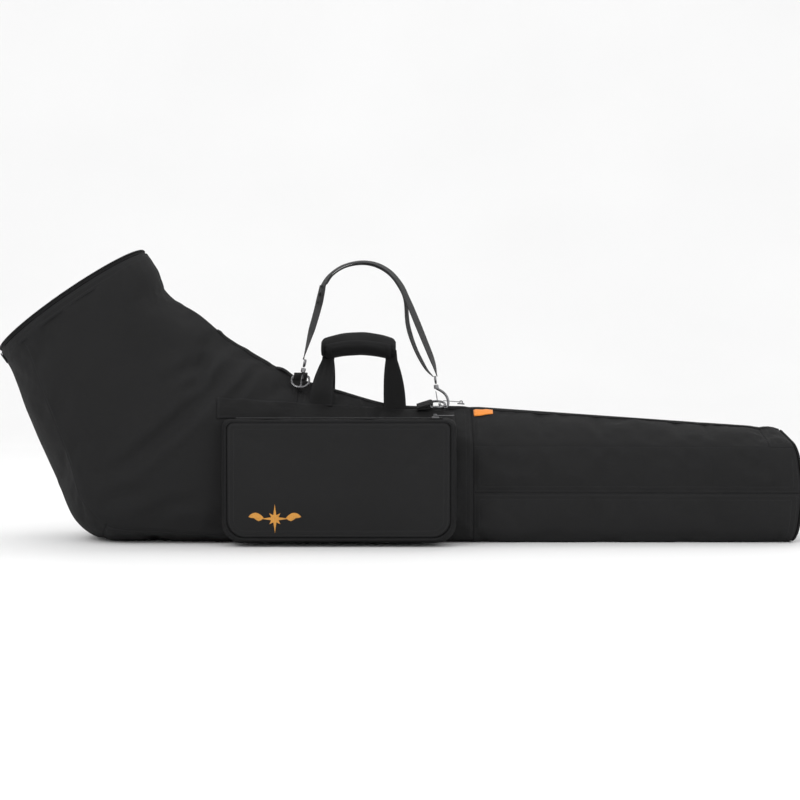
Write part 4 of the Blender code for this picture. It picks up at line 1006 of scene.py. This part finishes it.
def mouthPoint(radius, turn, height):
    return (mouth["centre"] + outward * height + across * radius * math.cos(turn)
            + Vector((0, radius * math.sin(turn), 0)))


lid = {"inset": 0.002, "skirt": 0.0068, "crown": 0.0105, "piping": 0.0017, "rim": 0.0045, "segments": 96}


def makeLid():
    outer = mouth["radius"] - lid["inset"]
    shares = (1.0, 1.0, 1.0, 0.985, 0.96, 0.93, 0.89, 0.84, 0.78, 0.71, 0.63, 0.54, 0.44, 0.33, 0.21, 0.08)
    rings, uv, seamUv = [], [], []
    for i, share in enumerate(shares):
        radius = outer * share
        level = (0.0008, 0.0042, lid["skirt"])[i] if i < 3 else (
            lid["skirt"] + (lid["crown"] - lid["skirt"]) * (1 - share**2.4) + 0.0010)
        for k in range(lid["segments"]):
            t = 2 * math.pi * k / lid["segments"]
            ripple = noise.noise(Vector((math.cos(t) * 6, math.sin(t) * 6, share * 4))) * 0.0014 * (1 if i > 2 else 0.3)
            drawn = -0.0012 if i == 3 else 0.0
            rings.append(mouthPoint(radius + (0.0009 if i == 1 else 0), t, level + ripple + drawn))
            uv.append((radius * math.cos(t), radius * math.sin(t)))
            seamUv.append((outer * t, outer - radius if i > 2 else 0.5))
    n = lid["segments"]
    faces = [list(f) for f in gridFaces(len(shares), n, ring=True)]
    faces.append(list(range(len(rings) - n, len(rings))))
    second = [0] * len(faces)
    start = len(rings)
    lining = ((outer - lid["rim"], 0.0008), (outer - lid["rim"], 0.0026), (outer * 0.8, 0.0019),
              (outer * 0.4, 0.0013), (outer * 0.06, 0.0011))
    for radius, level in lining:
        for k in range(n):
            t = 2 * math.pi * k / n
            quilt = 0.0006 * math.cos(radius * 160) if radius < outer * 0.9 else 0
            rings.append(mouthPoint(radius, t, level + quilt))
            uv.append((radius * math.cos(t), radius * math.sin(t)))
            seamUv.append((outer * t, 0.5))
    inside = gridFaces(5, n, start, ring=True)
    faces += [list(f) for f in inside] + [list(range(len(rings) - n, len(rings)))]
    faces += [[k, (k + 1) % n, start + (k + 1) % n, start + k] for k in range(n)]
    second += [1] * (len(faces) - len(second))
    piece = meshPiece("lidCover", rings, faces, [cloth, liningCloth], uv, seamUv, second)
    place(piece, "bell_lid", "black_cloth", "lid_panel", "lid_padding", "lid_board", "lid_lining")
    ring = [mouthPoint(outer + lid["piping"] - 0.0006, 2 * math.pi * k / 144, lid["skirt"] - 0.001) for k in range(144)]
    place(roundPiece("lidPiping", ring, lid["piping"], pipingCloth), "bell_lid", "black_piping", "lid_piping")


makeLid()


def makeMouthZip():
    rows = []
    for k in range(0, 241):
        t = 2 * math.pi * k / 240
        out = (across * math.cos(t) + Vector((0, math.sin(t), 0)))
        rows.append((mouthPoint(mouth["radius"] - 0.0026, t, -0.0085), out, outward))
    zipPiece("mouthZip", rows, 0, (-0.0045, 0.0, 0.0045), "case", "zip_tape", "mouth_zip_band")
    guard = [mouthPoint(mouth["radius"] + 0.0009, math.pi + 2 * math.pi * k / 240, -0.0089) for k in range(241)]
    place(webPiece("mouthGuard", guard, [outward * 0.0078] * 241, 0.0012, cloth), "case", "black_cloth")
    web = mouth["radius"] + 0.0034
    turns = [math.pi + 0.080 / mouth["radius"] * (i / 10 - 0.5) for i in range(11)]
    path = [mouthPoint(web, t, -0.0103) for t in turns]
    hinge = webPiece("lidHinge", path, [outward * 0.0088] * 11, 0.0018, webbing)
    place(hinge, "case", "black_webbing", "lid_hinge_web")


makeMouthZip()
print("lid and zips made")


def makeTubeEnd():
    stops = np.concatenate([np.linspace(0, 3, 61)[:-1], np.linspace(3, 6, 61)[:-1]])
    rim = surface(np.full_like(stops, tubeEnd), stops)
    middle = np.array([tube["end"] + tube["lean"] / 2 + tube["bulge"], 0, tube["eave"] / 2])
    loops, uv, seamUv = [], [], []
    shares = (0.972, 0.965, 0.945, 0.91, 0.86, 0.78, 0.68, 0.56, 0.42, 0.26, 0.08)
    for i, share in enumerate(shares):
        push = 0.0012 + 0.0105 * (1 - share**6)
        ring = middle + (rim - middle) * share
        ring[:, 0] += push
        wobble = lumps(ring, 16.0, 20) * 0.0012
        ring[:, 0] += wobble
        loops += [Vector(p) for p in ring]
        uv += [(p[1], p[2]) for p in ring]
        seamUv += [(k * 0.0048, 0.13 * (1 - share)) for k in range(len(ring))]
    n = len(stops)
    faces = [list(f) for f in gridFaces(len(shares), n, ring=True)] + [list(range(len(loops) - n, len(loops)))]
    faces.append(list(range(n))[::-1])
    piece = meshPiece("tubeEndPanel", loops, faces, [cloth], uv, seamUv)
    place(piece, "case", "black_cloth", "tube_end_panel")
    edge = middle + (rim - middle) * 0.962
    edge[:, 0] += 0.0036
    place(roundPiece("tubeEndPiping", [Vector(p) for p in edge], 0.0024, pipingCloth), "case", "black_piping",
          "tube_end_piping")


makeTubeEnd()

# the front pocket

pocket = {"left": -0.291, "right": 0.092, "bottom": 0.006, "top": 0.207, "front": -0.152, "thick": 0.005,
          "inset": 0.010, "radius": 0.030, "piping": 0.0026, "puff": 0.0042}


def pocketLoop(inset, depthAt, steps=8):
    left, right = pocket["left"] + inset, pocket["right"] - inset
    low, high = pocket["bottom"] + inset, pocket["top"] - inset * 0.35
    corners = ((left, high, pocket["radius"] * 0.4), (left, low, pocket["radius"]), (right, low, pocket["radius"]),
               (right, high, pocket["radius"] * 0.4))
    outline = []
    for i, (x, z, r) in enumerate(corners):
        before, after = Vector(corners[i - 1][:2]), Vector(corners[(i + 1) % 4][:2])
        bend = fold(Vector((x, z)), before, after, max(r - 0.0 * inset, 0.004), steps)
        following = corners[(i + 1) % 4]
        nextBend = fold(Vector(following[:2]), Vector((x, z)), Vector(corners[(i + 2) % 4][:2]), following[2], steps)
        parts = (28, 50)[i % 2]
        outline += bend[:-1] + [bend[-1].lerp(nextBend[0], k / parts) for k in range(parts)]
    return [Vector((p.x, depthAt(p.x, p.y), p.y)) for p in outline]


def pocketFolds(x, z):
    # slack cloth: soft diagonals near the top corners and a sag in the middle
    value = 0.0
    for x0, z0, x1, z1, width, depth in (
            (0.070, 0.196, 0.020, 0.150, 0.007, 0.0016), (0.072, 0.175, 0.000, 0.120, 0.009, 0.0014),
            (-0.272, 0.195, -0.215, 0.160, 0.008, 0.0012), (-0.120, 0.200, -0.090, 0.150, 0.010, 0.0009),
            (-0.040, 0.200, -0.060, 0.140, 0.011, 0.0008), (0.060, 0.040, 0.000, 0.075, 0.010, 0.0008)):
        a, b = Vector((x0, z0)), Vector((x1, z1))
        share = min(max((Vector((x, z)) - a).dot(b - a) / (b - a).length_squared, 0), 1)
        q = (Vector((x, z)) - a.lerp(b, share)).length / width
        ends = math.sin(math.pi * min(max(share, 0.05), 0.95))
        value += depth * ends * (-math.exp(-q * q) + 0.5 * math.exp(-(q - 1.7)**2))
    return value


def makePocketPanel():
    left, right = pocket["left"] + pocket["inset"], pocket["right"] - pocket["inset"]
    low, high = pocket["bottom"] + pocket["inset"], pocket["top"] - pocket["inset"] * 0.35
    xs = np.concatenate([left + np.array([0, .0012, .0028, .005]), np.linspace(left + .008, right - .008, 92),
                         right - np.array([.005, .0028, .0012, 0])])
    zs = np.concatenate([low + np.array([0, .0012, .0028, .005]), np.linspace(low + .008, high - .008, 46),
                         high - np.array([.005, .0028, .0012, 0])])
    outer = np.zeros((len(xs), len(zs), 3))
    inner = np.zeros_like(outer)
    seams = np.zeros((len(xs), len(zs), 2))
    for i, x in enumerate(xs):
        for j, z in enumerate(zs):
            px, pz = x, z
            r = pocket["radius"] if z < (low + high) / 2 else pocket["radius"] * 0.4
            cx = min(max(x, left + r), right - r)
            cz = min(max(z, low + r), high - r)
            qx, qz = (x - cx) / r, (z - cz) / r
            away = math.hypot(qx, qz)
            if qx and qz:
                most = max(abs(qx), abs(qz))
                px, pz = cx + qx * r * most / away, cz + qz * r * most / away
            edge = min(x - left, right - x, z - low, high - z)
            rise = pocket["puff"] * (1 - math.exp(-((x - left) / 0.05)**2)) * (1 - math.exp(-((right - x) / 0.05)**2))
            rise *= (1 - math.exp(-((z - low) / 0.04)**2)) * (1 - math.exp(-((high - z) / 0.04)**2))
            rise += (pocketFolds(px, pz) + noise.noise(Vector((px * 14, 3, pz * 14))) * 0.0011
                     + noise.noise(Vector((px * 45, 8, pz * 45))) * 0.0003) * (1 - math.exp(-(edge / 0.02)**2))
            run = x if edge in (z - low, high - z) else z
            rise += noise.noise(Vector((run * 50, 2, 1))) * 0.0007 * math.exp(-edge / 0.015) * min(edge / 0.004, 1)
            rise -= 0.0022 * max(1 - edge / 0.0045, 0)**2
            outer[i, j] = (px, pocket["front"] - pocket["thick"] - rise, pz)
            inner[i, j] = (px, pocket["front"] + 0.0006, pz)
            seams[i, j] = (run, edge)
    uu, vv = np.meshgrid(xs, zs, indexing="ij")
    piece = slabPiece("pocketFront", outer, inner, [cloth, liningCloth], np.stack([uu, vv], -1), seams)
    place(piece, "pocket_panel", "black_cloth", "pocket_front_panel")
    return piece


pocketFront = makePocketPanel()


def makePocketSides():
    def rear(x, z):
        return max(ground(-1, x, max(z, 0.012))[0].y - 0.0015, -0.125)

    loops, uv, seamUv = [], [], []
    back = pocketLoop(0.004, rear)
    middle = pocketLoop(0.0, lambda x, z: pocket["front"] + 0.016)
    near = pocketLoop(pocket["inset"] * 0.45, lambda x, z: pocket["front"] + 0.0035)
    front = pocketLoop(pocket["inset"], lambda x, z: pocket["front"] + 0.0004)
    steps = 14
    profile = []
    for i in range(steps + 1):
        t = i / steps
        if t < 0.6:
            s = t / 0.6
            profile.append([a.lerp(b, s) for a, b in zip(back, middle)])
        elif t < 0.85:
            s = (t - 0.6) / 0.25
            profile.append([a.lerp(b, s) for a, b in zip(middle, near)])
        else:
            s = (t - 0.85) / 0.15
            profile.append([a.lerp(b, s) for a, b in zip(near, front)])
    centre = Vector(((pocket["left"] + pocket["right"]) / 2, -0.13, (pocket["bottom"] + pocket["top"]) / 2))
    n = len(back)
    groove = (0.0, 0.0004, 0.0010, 0.0012, -0.0008, 0.0012, 0.0013, 0.0012, -0.0008, 0.0008, 0.0006, 0.0, 0, 0, 0)
    for i, ring in enumerate(profile):
        for k, p in enumerate(ring):
            out = Vector((p.x - centre.x, 0, p.z - centre.z))
            ahead = ring[(k + 1) % n] - ring[k - 1]
            outSide = Vector((ahead.z, 0, -ahead.x)).normalized()
            if outSide.dot(out) < 0:
                outSide = -outSide
            lump = noise.noise(Vector((p.x * 30, i * 0.6, p.z * 30))) * 0.0012
            fade = 1 if 0 < i < steps - 1 else 0
            low = p + outSide * (groove[i] + lump * fade)
            low.z = max(low.z, 0.0008)
            loops.append(low)
            uv.append((k * 0.004, i * 0.008))
            seamUv.append((k * 0.004, min(i, steps - i) * 0.008))
    outCount = len(loops)
    for i, ring in enumerate((profile[0], profile[-1])):
        for p in ring:
            inwards = (centre - p)
            inwards.y = 0
            loops.append(p + inwards.normalized() * 0.003)
            uv.append((p.x, p.z))
            seamUv.append((p.x, 0.5))
    faces = [list(f) for f in gridFaces(steps + 1, n, ring=True)]
    second = [0] * len(faces)
    for k in range(n):
        j = (k + 1) % n
        faces.append([outCount + k, outCount + j, outCount + n + j, outCount + n + k])
        faces.append([k, j, outCount + j, outCount + k])
        last = steps * n
        faces.append([last + k, last + j, outCount + n + j, outCount + n + k])
        second += [1, 0, 0]
    piece = meshPiece("pocketSides", loops, faces, [cloth, liningCloth], uv, seamUv, second)
    place(piece, "case", "black_cloth", "pocket_gusset")
    pipingDepth = pocket["front"] - pocket["thick"] + pocket["piping"] - 0.0002
    edge = pocketLoop(pocket["inset"] - 0.0030, lambda x, z: pipingDepth)
    piping = roundPiece("pocketPiping", edge, pocket["piping"], pipingCloth)
    place(piping, "pocket_panel", "black_piping", "pocket_piping")
    rows = [(Vector((x, pocket["front"] + 0.024, pocket["top"] + 0.0006)), up, Vector((0, 1, 0)))
            for x in np.linspace(-0.268, 0.070, 90)]
    zipPiece("pocketZip", rows, 0, (-0.006, 0.0, 0.006), "case", "zip_tape", "pocket_zip_tape")


makePocketSides()
print("pocket made")

# gold motif: a plain eight-pointed star between two leaves, sewn on the pocket

motif = {"x": -0.203, "z": 0.047, "thick": 0.0007}


def makeMotif():
    mesh = pocketFront.data
    tree = BVHTree.FromPolygons([v.co.copy() for v in mesh.vertices], [list(p.vertices) for p in mesh.polygons])
    star = []
    for i in range(16):
        turn = math.pi * i / 8 + math.pi / 2
        reach = (0.024 if i % 4 == 0 else 0.013) if i % 2 == 0 else 0.0065
        star.append((reach * math.cos(turn), reach * math.sin(turn)))
    leaf = ((0.018, 0.0015), (0.022, 0.0058), (0.027, 0.009), (0.0315, 0.0100), (0.036, 0.009), (0.040, 0.0065),
            (0.043, 0.003), (0.0385, 0.0012), (0.034, 0.001), (0.030, -0.0022), (0.026, -0.004), (0.0215, -0.0022))
    shapes = [star, list(leaf), [(-x, z) for x, z in reversed(leaf)]]
    points, uv, faces = [], [], []
    for shape in shapes:
        cx = sum(p[0] for p in shape) / len(shape)
        cz = sum(p[1] for p in shape) / len(shape)
        dense = []
        for (x0, z0), (x1, z1) in zip(shape, shape[1:] + shape[:1]):
            dense += [(x0 + (x1 - x0) * k / 4, z0 + (z1 - z0) * k / 4) for k in range(4)]
        start = len(points)
        shares = (1.0, 0.96, 0.86, 0.66, 0.40, 0.12)
        lifts = (0.0, 0.72, 1.0, 1.1, 1.15, 1.15)
        for share, lift in zip(shares, lifts):
            for x, z in dense:
                px = motif["x"] + cx + (x - cx) * share
                pz = motif["z"] + cz + (z - cz) * share
                hit = tree.ray_cast(Vector((px, -0.3, pz)), Vector((0, 1, 0)))[0]
                points.append((px, hit.y + 0.0001 - motif["thick"] * lift, pz))
                uv.append((px + pz, pz - px))
        n = len(dense)
        faces += [list(f) for f in gridFaces(len(shares), n, start, ring=True)]
        faces.append(list(range(len(points) - n, len(points))))
    piece = meshPiece("pocketMotif", points, faces, [goldThread], uv)
    place(piece, "pocket_panel", "gold_thread", "pocket_ornament")


makeMotif()

# web bands round the case, under the handle

band = {"left": -0.300, "right": 0.092, "leftZ": 0.226, "rightZ": 0.2060, "width": 0.038, "thick": 0.0018,
        "columns": 120}


def bandRow(side, x, count=13):
    share = (x - band["left"]) / (band["right"] - band["left"])
    middle, normal = ground(side, x, band["leftZ"] + (band["rightZ"] - band["leftZ"]) * share)
    down = Vector((1, 0, 0)).cross(normal).normalized() * -side
    if down.z > 0:
        down = -down
    row = []
    for i in range(count):
        start = middle + down * band["width"] * (i / (count - 1) - 0.5) + normal * 0.04
        hit = trees[side].ray_cast(start, -normal)[0]
        row.append((hit if hit is not None else start - normal * 0.04, normal))
    return row


def makeBands():
    for word, side in (("front", -1), ("back", 1)):
        xs = [band["left"] + (band["right"] - band["left"]) * i / band["columns"] for i in range(band["columns"] + 1)]
        rows = [bandRow(side, x) for x in xs]
        count = len(rows[0])
        outer = np.array([[tuple(p + n * (0.0004 + band["thick"])) for p, n in row] for row in rows])
        for _ in range(4): # the stiff web bridges the cloth's small lumps
            outer[1:-1] = (outer[:-2] + outer[1:-1] * 2 + outer[2:]) / 4
        normals = np.array([[tuple(n) for p, n in row] for row in rows])
        low = np.array([[tuple(p) for p, n in row] for row in rows])
        above = ((outer - low) * normals).sum(axis=-1, keepdims=True)
        outer += normals * np.maximum(band["thick"] - above, 0)
        inner = outer - normals * band["thick"]
        uu = np.array([[x] * count for x in xs])
        vv = np.array([[band["width"] * k / (count - 1) for k in range(count)] for _ in xs])
        seams = np.stack([uu, np.minimum(vv, band["width"] - vv)], -1)
        piece = slabPiece(f"{word}Band", outer, inner, [webbing, webbing], np.stack([uu, vv], -1), seams)
        place(piece, "case", "black_webbing", f"{word}_web_band")


makeBands()

# carry handle

handle = {"leftX": -0.133, "rightX": -0.0085, "leftLean": 0.010, "rightLean": -0.006,
          "gripLeft": -0.134, "gripRight": -0.007, "gripZ": 0.3328, "drop": 0.010, "width": 0.049, "height": 0.032,
          "swell": 0.0020}


def gripMiddle(x):
    half = (handle["gripRight"] - handle["gripLeft"]) / 2
    return handle["gripZ"] - handle["drop"] * ((x - handle["gripLeft"]) / half - 1) ** 2


def makeHandleLegs():
    for endWord in ("left", "right"):
        x, lean = handle[endWord + "X"], handle[endWord + "Lean"]
        for sideWord, side in (("front", -1), ("rear", 1)):
            foot, normal = bandRow(side, x)[0]
            low, _ = bandRow(side, x)[1]
            foot += normal * 0.0012
            low += normal * 0.0004
            head = Vector((x + lean, side * 0.010, 0.3030))
            into = Vector((x + lean * 1.25, side * 0.006, 0.3200))
            knee = Vector((x + lean * 0.3, foot.y * 0.84, foot.z + (head.z - foot.z) * 0.45))
            path = smoothPath([low, low.lerp(foot, 0.6), foot, knee, head, into], 8)
            near, far = Vector((0.0190, 0, 0)), Vector((0.0100, 0.004 * side, 0.0))
            sides = []
            for i, p in enumerate(path):
                share = min(max((p.z - foot.z) / (head.z - foot.z), 0), 1)
                sides.append(near.lerp(far, share ** 2.4))
            piece = webPiece(f"{sideWord}{endWord.capitalize()}Leg", path, sides, 0.0018, webbing)
            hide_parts(f"handle_{sideWord}_{endWord}_leg")
            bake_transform(piece)


makeHandleLegs()


def gripRing(x, wide, high, count, seed):
    z = gripMiddle(x)
    ring = []
    for i in range(count):
        t = 2 * math.pi * i / count
        square = 1 + 0.05 * math.cos(4 * t)
        lump = noise.noise(Vector((x * 40, math.cos(t) * 2 + seed, math.sin(t) * 2))) * 0.0012
        ring.append(Vector((x, (wide / 2 * square + lump) * math.cos(t), z + (high / 2 + lump) * math.sin(t))))
    return ring


def makeGrip():
    count = 40
    shares = (0, 0.006, 0.016, 0.03, 0.05, *[0.08 + 0.84 * i / 30 for i in range(31)], 0.95, 0.97, 0.984, 0.994, 1)
    loops, uv, seamUv = [], [], []
    length = handle["gripRight"] - handle["gripLeft"]
    for share in shares:
        x = handle["gripLeft"] + length * share
        edge = min(share, 1 - share) * length
        swell = handle["swell"] * (1 - math.exp(-(edge / 0.02)**2)) - 0.0050 * max(1 - edge / 0.006, 0)**2
        for p in gripRing(x, handle["width"] + swell * 2, handle["height"] + swell * 2, count, 3):
            loops.append(p)
            uv.append((x, math.atan2(p.z - gripMiddle(x), p.y) * 0.02))
            seamUv.append((p.z + p.y, edge))
    faces = [list(f) for f in gridFaces(len(shares), count, ring=True)]
    faces += [list(range(count))[::-1], list(range(len(loops) - count, len(loops)))]
    piece = meshPiece("grip", loops, faces, [cloth], uv, seamUv)
    place(piece, "handle_grip", "black_cloth", "grip_pad", "grip_web_core")
    makeGripFlap()


def makeGripFlap():
    # the wrap's free edge laps down over the front of the grip
    turns = [math.radians(168 + 108 * i / 26) for i in range(27)]
    xs = np.linspace(handle["gripLeft"] + 0.0076, handle["gripRight"] - 0.0076, 44)
    outer, inner = np.zeros((44, 27, 3)), np.zeros((44, 27, 3))
    seams = np.zeros((44, 27, 2))
    uvs = np.zeros((44, 27, 2))
    for i, x in enumerate(xs):
        for j, t in enumerate(turns):
            square = 1 + 0.05 * math.cos(4 * t)
            edge = min(x - xs[0], xs[-1] - x, j * 0.0026, (26 - j) * 0.0026)
            lump = noise.noise(Vector((x * 40, math.cos(t) * 2 + 3, math.sin(t) * 2))) * 0.0012
            for grid, out in ((outer, 0.0034 - 0.0016 * max(1 - edge / 0.0035, 0)**2), (inner, 0.0010)):
                wide = (handle["width"] / 2 + handle["swell"]) * square + out + lump
                high = handle["height"] / 2 + handle["swell"] + out + lump
                grid[i, j] = (x, wide * math.cos(t), gripMiddle(x) + high * math.sin(t))
            seams[i, j] = (x, edge)
            uvs[i, j] = (x, t * 0.022)
    piece = slabPiece("gripFlap", outer, inner, [cloth, liningCloth], uvs, seams)
    place(piece, "grip_flap", "black_piping", "grip_closure_flap")


makeGrip()
print("handle made")

# shoulder strap

strap = {"width": 0.025, "thick": 0.0016, "wire": 0.0024, "ringLength": 0.025, "ringWidth": 0.030,
         "leftClip": Vector((-0.1685, -0.036, 0.2575)), "rightClip": Vector((0.0765, -0.022, 0.2285)),
         "leftUp": Vector((0.20, 0, 0.98)).normalized(), "rightUp": Vector((-0.12, 0, 0.99)).normalized(),
         "hookRise": 0.027, "barrel": 0.0065, "eye": 0.0105,
         "turns": (0, 27, 30, 20, 10, 8, 10, 14, 18, 22, 24, 20, 0),
         "innerTurns": (0, -12, -16, -12, -8, -10, -8, -6, -6)}
strapLeg = ((-0.1510, 0.345), (-0.1395, 0.385), (-0.1320, 0.4150))
strapArch = ((-0.1270, 0.4330), (-0.1150, 0.4495), (-0.0935, 0.4632), (-0.0660, 0.4690), (-0.0400, 0.4655),
             (-0.0165, 0.4520), (0.0015, 0.4300), (0.0125, 0.4060))
strapOuter = ((0.0215, 0.3850), (0.0400, 0.3400), (0.0560, 0.3000))
strapInner = ((0.0135, 0.3620), (0.0255, 0.3240), (0.0430, 0.2905))


def strapLine(points, a, b):
    path = []
    for x, z in points:
        share = min(max((x - a.x) / (b.x - a.x), 0), 1)
        path.append(Vector((x, a.y + (b.y - a.y) * share, z)))
    return path


def webSides(path, turns):
    # the web's half width at each point; turns are degrees at even shares of its length
    sides = []
    for i in range(len(path)):
        ahead = (path[min(i + 1, len(path) - 1)] - path[max(i - 1, 0)]).normalized()
        sideways = Vector((0, 1, 0))
        sideways = (sideways - ahead * ahead.dot(sideways)).normalized()
        share = i / (len(path) - 1) * (len(turns) - 1)
        turn = math.radians(float(np.interp(share, range(len(turns)), turns)))
        sides.append((sideways * math.cos(turn) + ahead.cross(sideways) * math.sin(turn)) * strap["width"] / 2)
    return sides


def eyeTop(clip, lateral, lift):
    foot = clip - lateral * 0.0115 + lift * (strap["hookRise"] + strap["barrel"])
    return foot + lift * (strap["wire"] + 0.0004 + strap["eye"])


def ringTab(name, bar, tail, sideways):
    back = (tail - bar).normalized()
    lift = back.cross(sideways).normalized()
    if lift.z < -0.01 or (abs(lift.z) <= 0.01 and lift.y > 0):
        lift = -lift
    bend = strap["wire"] + strap["thick"] / 2 + 0.0008
    path = [tail - lift * (strap["thick"] / 2 + 0.0003)]
    for i in range(13):
        turn = -math.pi / 2 + math.pi * i / 12
        path.append(bar - back * bend * math.cos(turn) + lift * bend * math.sin(turn))
    path.append(tail + lift * (strap["thick"] / 2 + 0.0003))
    half = sideways * (strap["ringWidth"] / 2 - strap["wire"] - 0.0012)
    place(webPiece(name, path, [half] * len(path), strap["thick"], webbing), "case", "black_webbing",
          {"leftRingTab": "left_ring_tab", "rightRingTab": "right_ring_tab"}[name])


def makeStrap():
    leftBar = strap["leftClip"] - Vector((0, -0.6, -0.8)) * strap["ringLength"]
    rightBar = strap["rightClip"] - Vector((1, 0, 0)) * strap["ringLength"]
    ringTab("leftRingTab", leftBar, leftBar + Vector((-0.001, 0.0015, -0.0085)), Vector((1, 0, 0)))
    ringTab("rightRingTab", rightBar, rightBar + Vector((-0.023, 0, -0.0045)),
            Vector((0, math.cos(math.radians(18)), math.sin(math.radians(18)))))
    a = eyeTop(strap["leftClip"], Vector((0, 1, 0)), strap["leftUp"])
    b = eyeTop(strap["rightClip"], Vector((1, 0, 0)), strap["rightUp"])
    wrap = strap["wire"] * 0.8 + 0.0004 + strap["thick"] / 2 + 0.0004
    main = strapLine((*strapLeg, *strapArch, *strapOuter), a, b)
    start = a + Vector((-1, 0, 0)) * wrap + strap["leftUp"] * 0.001
    end = b + Vector((1, 0, 0)) * wrap + strap["rightUp"] * 0.001
    path = smoothPath([start, *main, end], 10)
    place(webPiece("strapWeb", path, webSides(path, strap["turns"]), strap["thick"], strapWebbing), "shoulder_strap",
          "black_webbing", "strap_web")
    inner = strapLine(strapInner, a, b)
    begin = b - Vector((1, 0, 0)) * wrap + strap["rightUp"] * 0.001
    under = strapLine(strapArch[::-1], a, b)
    lowered = []
    for i, point in enumerate(under):
        ahead = (under[min(i + 1, len(under) - 1)] - under[max(i - 1, 0)]).normalized()
        inwards = Vector((ahead.z, 0, -ahead.x))
        if inwards.dot(Vector((-0.04, 0, 0.36)) - point) < 0:
            inwards = -inwards
        lowered.append(point + inwards * (strap["thick"] + 0.0022))
    back = smoothPath([begin, *inner[::-1], *lowered], 10)
    returning = webPiece("strapReturn", back, webSides(back, strap["innerTurns"]), strap["thick"], strapWebbing)
    place(returning, "shoulder_strap", "black_webbing", "strap_return_web")


makeStrap()
print("strap made")


label = {"left": 0.1255, "width": 0.032, "top": 0.12, "drop": 0.14, "stationLength": 0.0825, "thick": 0.0018,
         "ripple": 0.0003, "clear": 0.0004}


def makeLabel():
    # a folded woven tab caught in the roof's seam
    tree = treeOf("tubeFrontRoof")
    rows, columns = 14, 8
    outer, inner = np.zeros((rows, columns, 3)), np.zeros((rows, columns, 3))
    uvs = np.zeros((rows, columns, 2))
    for i in range(rows):
        for j in range(columns):
            x = label["left"] + label["width"] * i / (rows - 1)
            around = label["top"] + label["drop"] * j / (columns - 1)
            along = seam + (x - tube["seam"]) / label["stationLength"]
            base = surface(np.array([along]), np.array([around]))[0]
            y = base[1]
            hit, normal, _, _ = tree.ray_cast(Vector((x, y, 0.30)), Vector((0, 0, -1)))
            hit = hit if hit is not None else Vector(base)
            normal = Vector((0, -0.35, 0.94)) if normal is None else (normal if normal.z > 0 else -normal)
            outer[i, j] = hit + normal * (label["thick"] + label["ripple"] * math.sin(i * 0.9))
            inner[i, j] = hit + normal * label["clear"]
            uvs[i, j] = (x, y)
    piece = slabPiece("labelTab", outer, inner, [orangeTape, orangeTape], uvs, np.full((rows, columns, 2), 0.5))
    place(piece, "front_roof", "orange_label", "label_tab")


makeLabel()

# hardware keeps its solids, with rounded edges and its own finishes

hardware = (
    (steel, True, ("left_d_ring", "right_d_ring", "left_snap_hook", "right_snap_hook", "left_hook_gate",
                   "right_hook_gate", "left_swivel_eye", "right_swivel_eye")),
    (plastic, False, ("strap_adjuster",)),
    (zinc, False, ("lid_zip_slider", "lid_zip_puller", "main_zip_slider", "main_zip_puller", "pocket_zip_slider",
                   "pocket_zip_puller")),
)
weldReach = 0.00002
edgeWidth = 0.0004


def roundOff(obj, isRound):
    if isRound:
        soft = obj.modifiers.new("round", "SUBSURF")
        soft.levels = soft.render_levels = 1
        return
    edge = obj.modifiers.new("edge", "BEVEL")
    edge.width = edgeWidth
    edge.segments = 2
    edge.limit_method = "ANGLE"


def finishHardware():
    for made, isRound, names in hardware:
        for name in names:
            obj = nodes[name]
            obj.data.materials.clear()
            obj.data.materials.append(made)
            obj.modifiers.new("weld", "WELD").merge_threshold = weldReach
            roundOff(obj, isRound)


finishHardware()
print("hardware finished")

# studio

studio = {"floor": (0.95, 0.95, 0.95), "world": 1.0}


def areaLight(name, location, target, size, power):
    data = bpy.data.lights.new(name, "AREA")
    data.shape = "RECTANGLE"
    data.size, data.size_y = size
    data.energy = power
    lamp = link(bpy.data.objects.new(name, data))
    lamp.location = location
    lamp.rotation_euler = (Vector(target) - Vector(location)).to_track_quat("-Z", "Y").to_euler()


def makeStudio():
    made, tree, shader = newMaterial("paleFloor")
    place = tree.nodes.new("ShaderNodeNewGeometry").outputs["Position"]
    tone = blurNoise(tree, place, 1.3, 2.0)
    tree.links.new(mixColor(tree, tone, (0.90, 0.90, 0.90), studio["floor"]), shader.inputs["Base Color"])
    shader.inputs["Roughness"].default_value = 0.7
    points, faces, rows = [], [], 25
    for i in range(rows):
        t = i / (rows - 1)
        if t < 0.6:
            y, z = -6 + t / 0.6 * 9, 0.0
        else:
            a = (t - 0.6) / 0.4 * math.pi / 2
            y, z = 3 + 3 * math.sin(a), 3 * (1 - math.cos(a))
        points += [(-8, y, z), (8, y, z)]
    points += [(-8, 6, 8), (8, 6, 8)]
    faces = [(2 * i, 2 * i + 1, 2 * i + 3, 2 * i + 2) for i in range(rows)]
    floor = meshPiece("floor", points, faces, [made])
    floor.location.z = -0.0002
    world = bpy.data.worlds.new("studioWorld")
    bpy.context.scene.world = world
    world.use_nodes = True
    world.node_tree.nodes["Background"].inputs["Color"].default_value = (1, 1, 1, 1)
    world.node_tree.nodes["Background"].inputs["Strength"].default_value = studio["world"]
    areaLight("key", (-1.6, -2.4, 2.3), (-0.1, 0, 0.2), (1.8, 1.2), 26)
    areaLight("fill", (2.2, -2.2, 1.2), (0.1, 0, 0.2), (1.6, 1.6), 14)
    areaLight("top", (-0.2, 0.7, 2.4), (-0.1, 0, 0.2), (2.4, 0.9), 8)
    bpy.context.scene.view_settings.view_transform = "Standard"


makeStudio()
print("studio made")
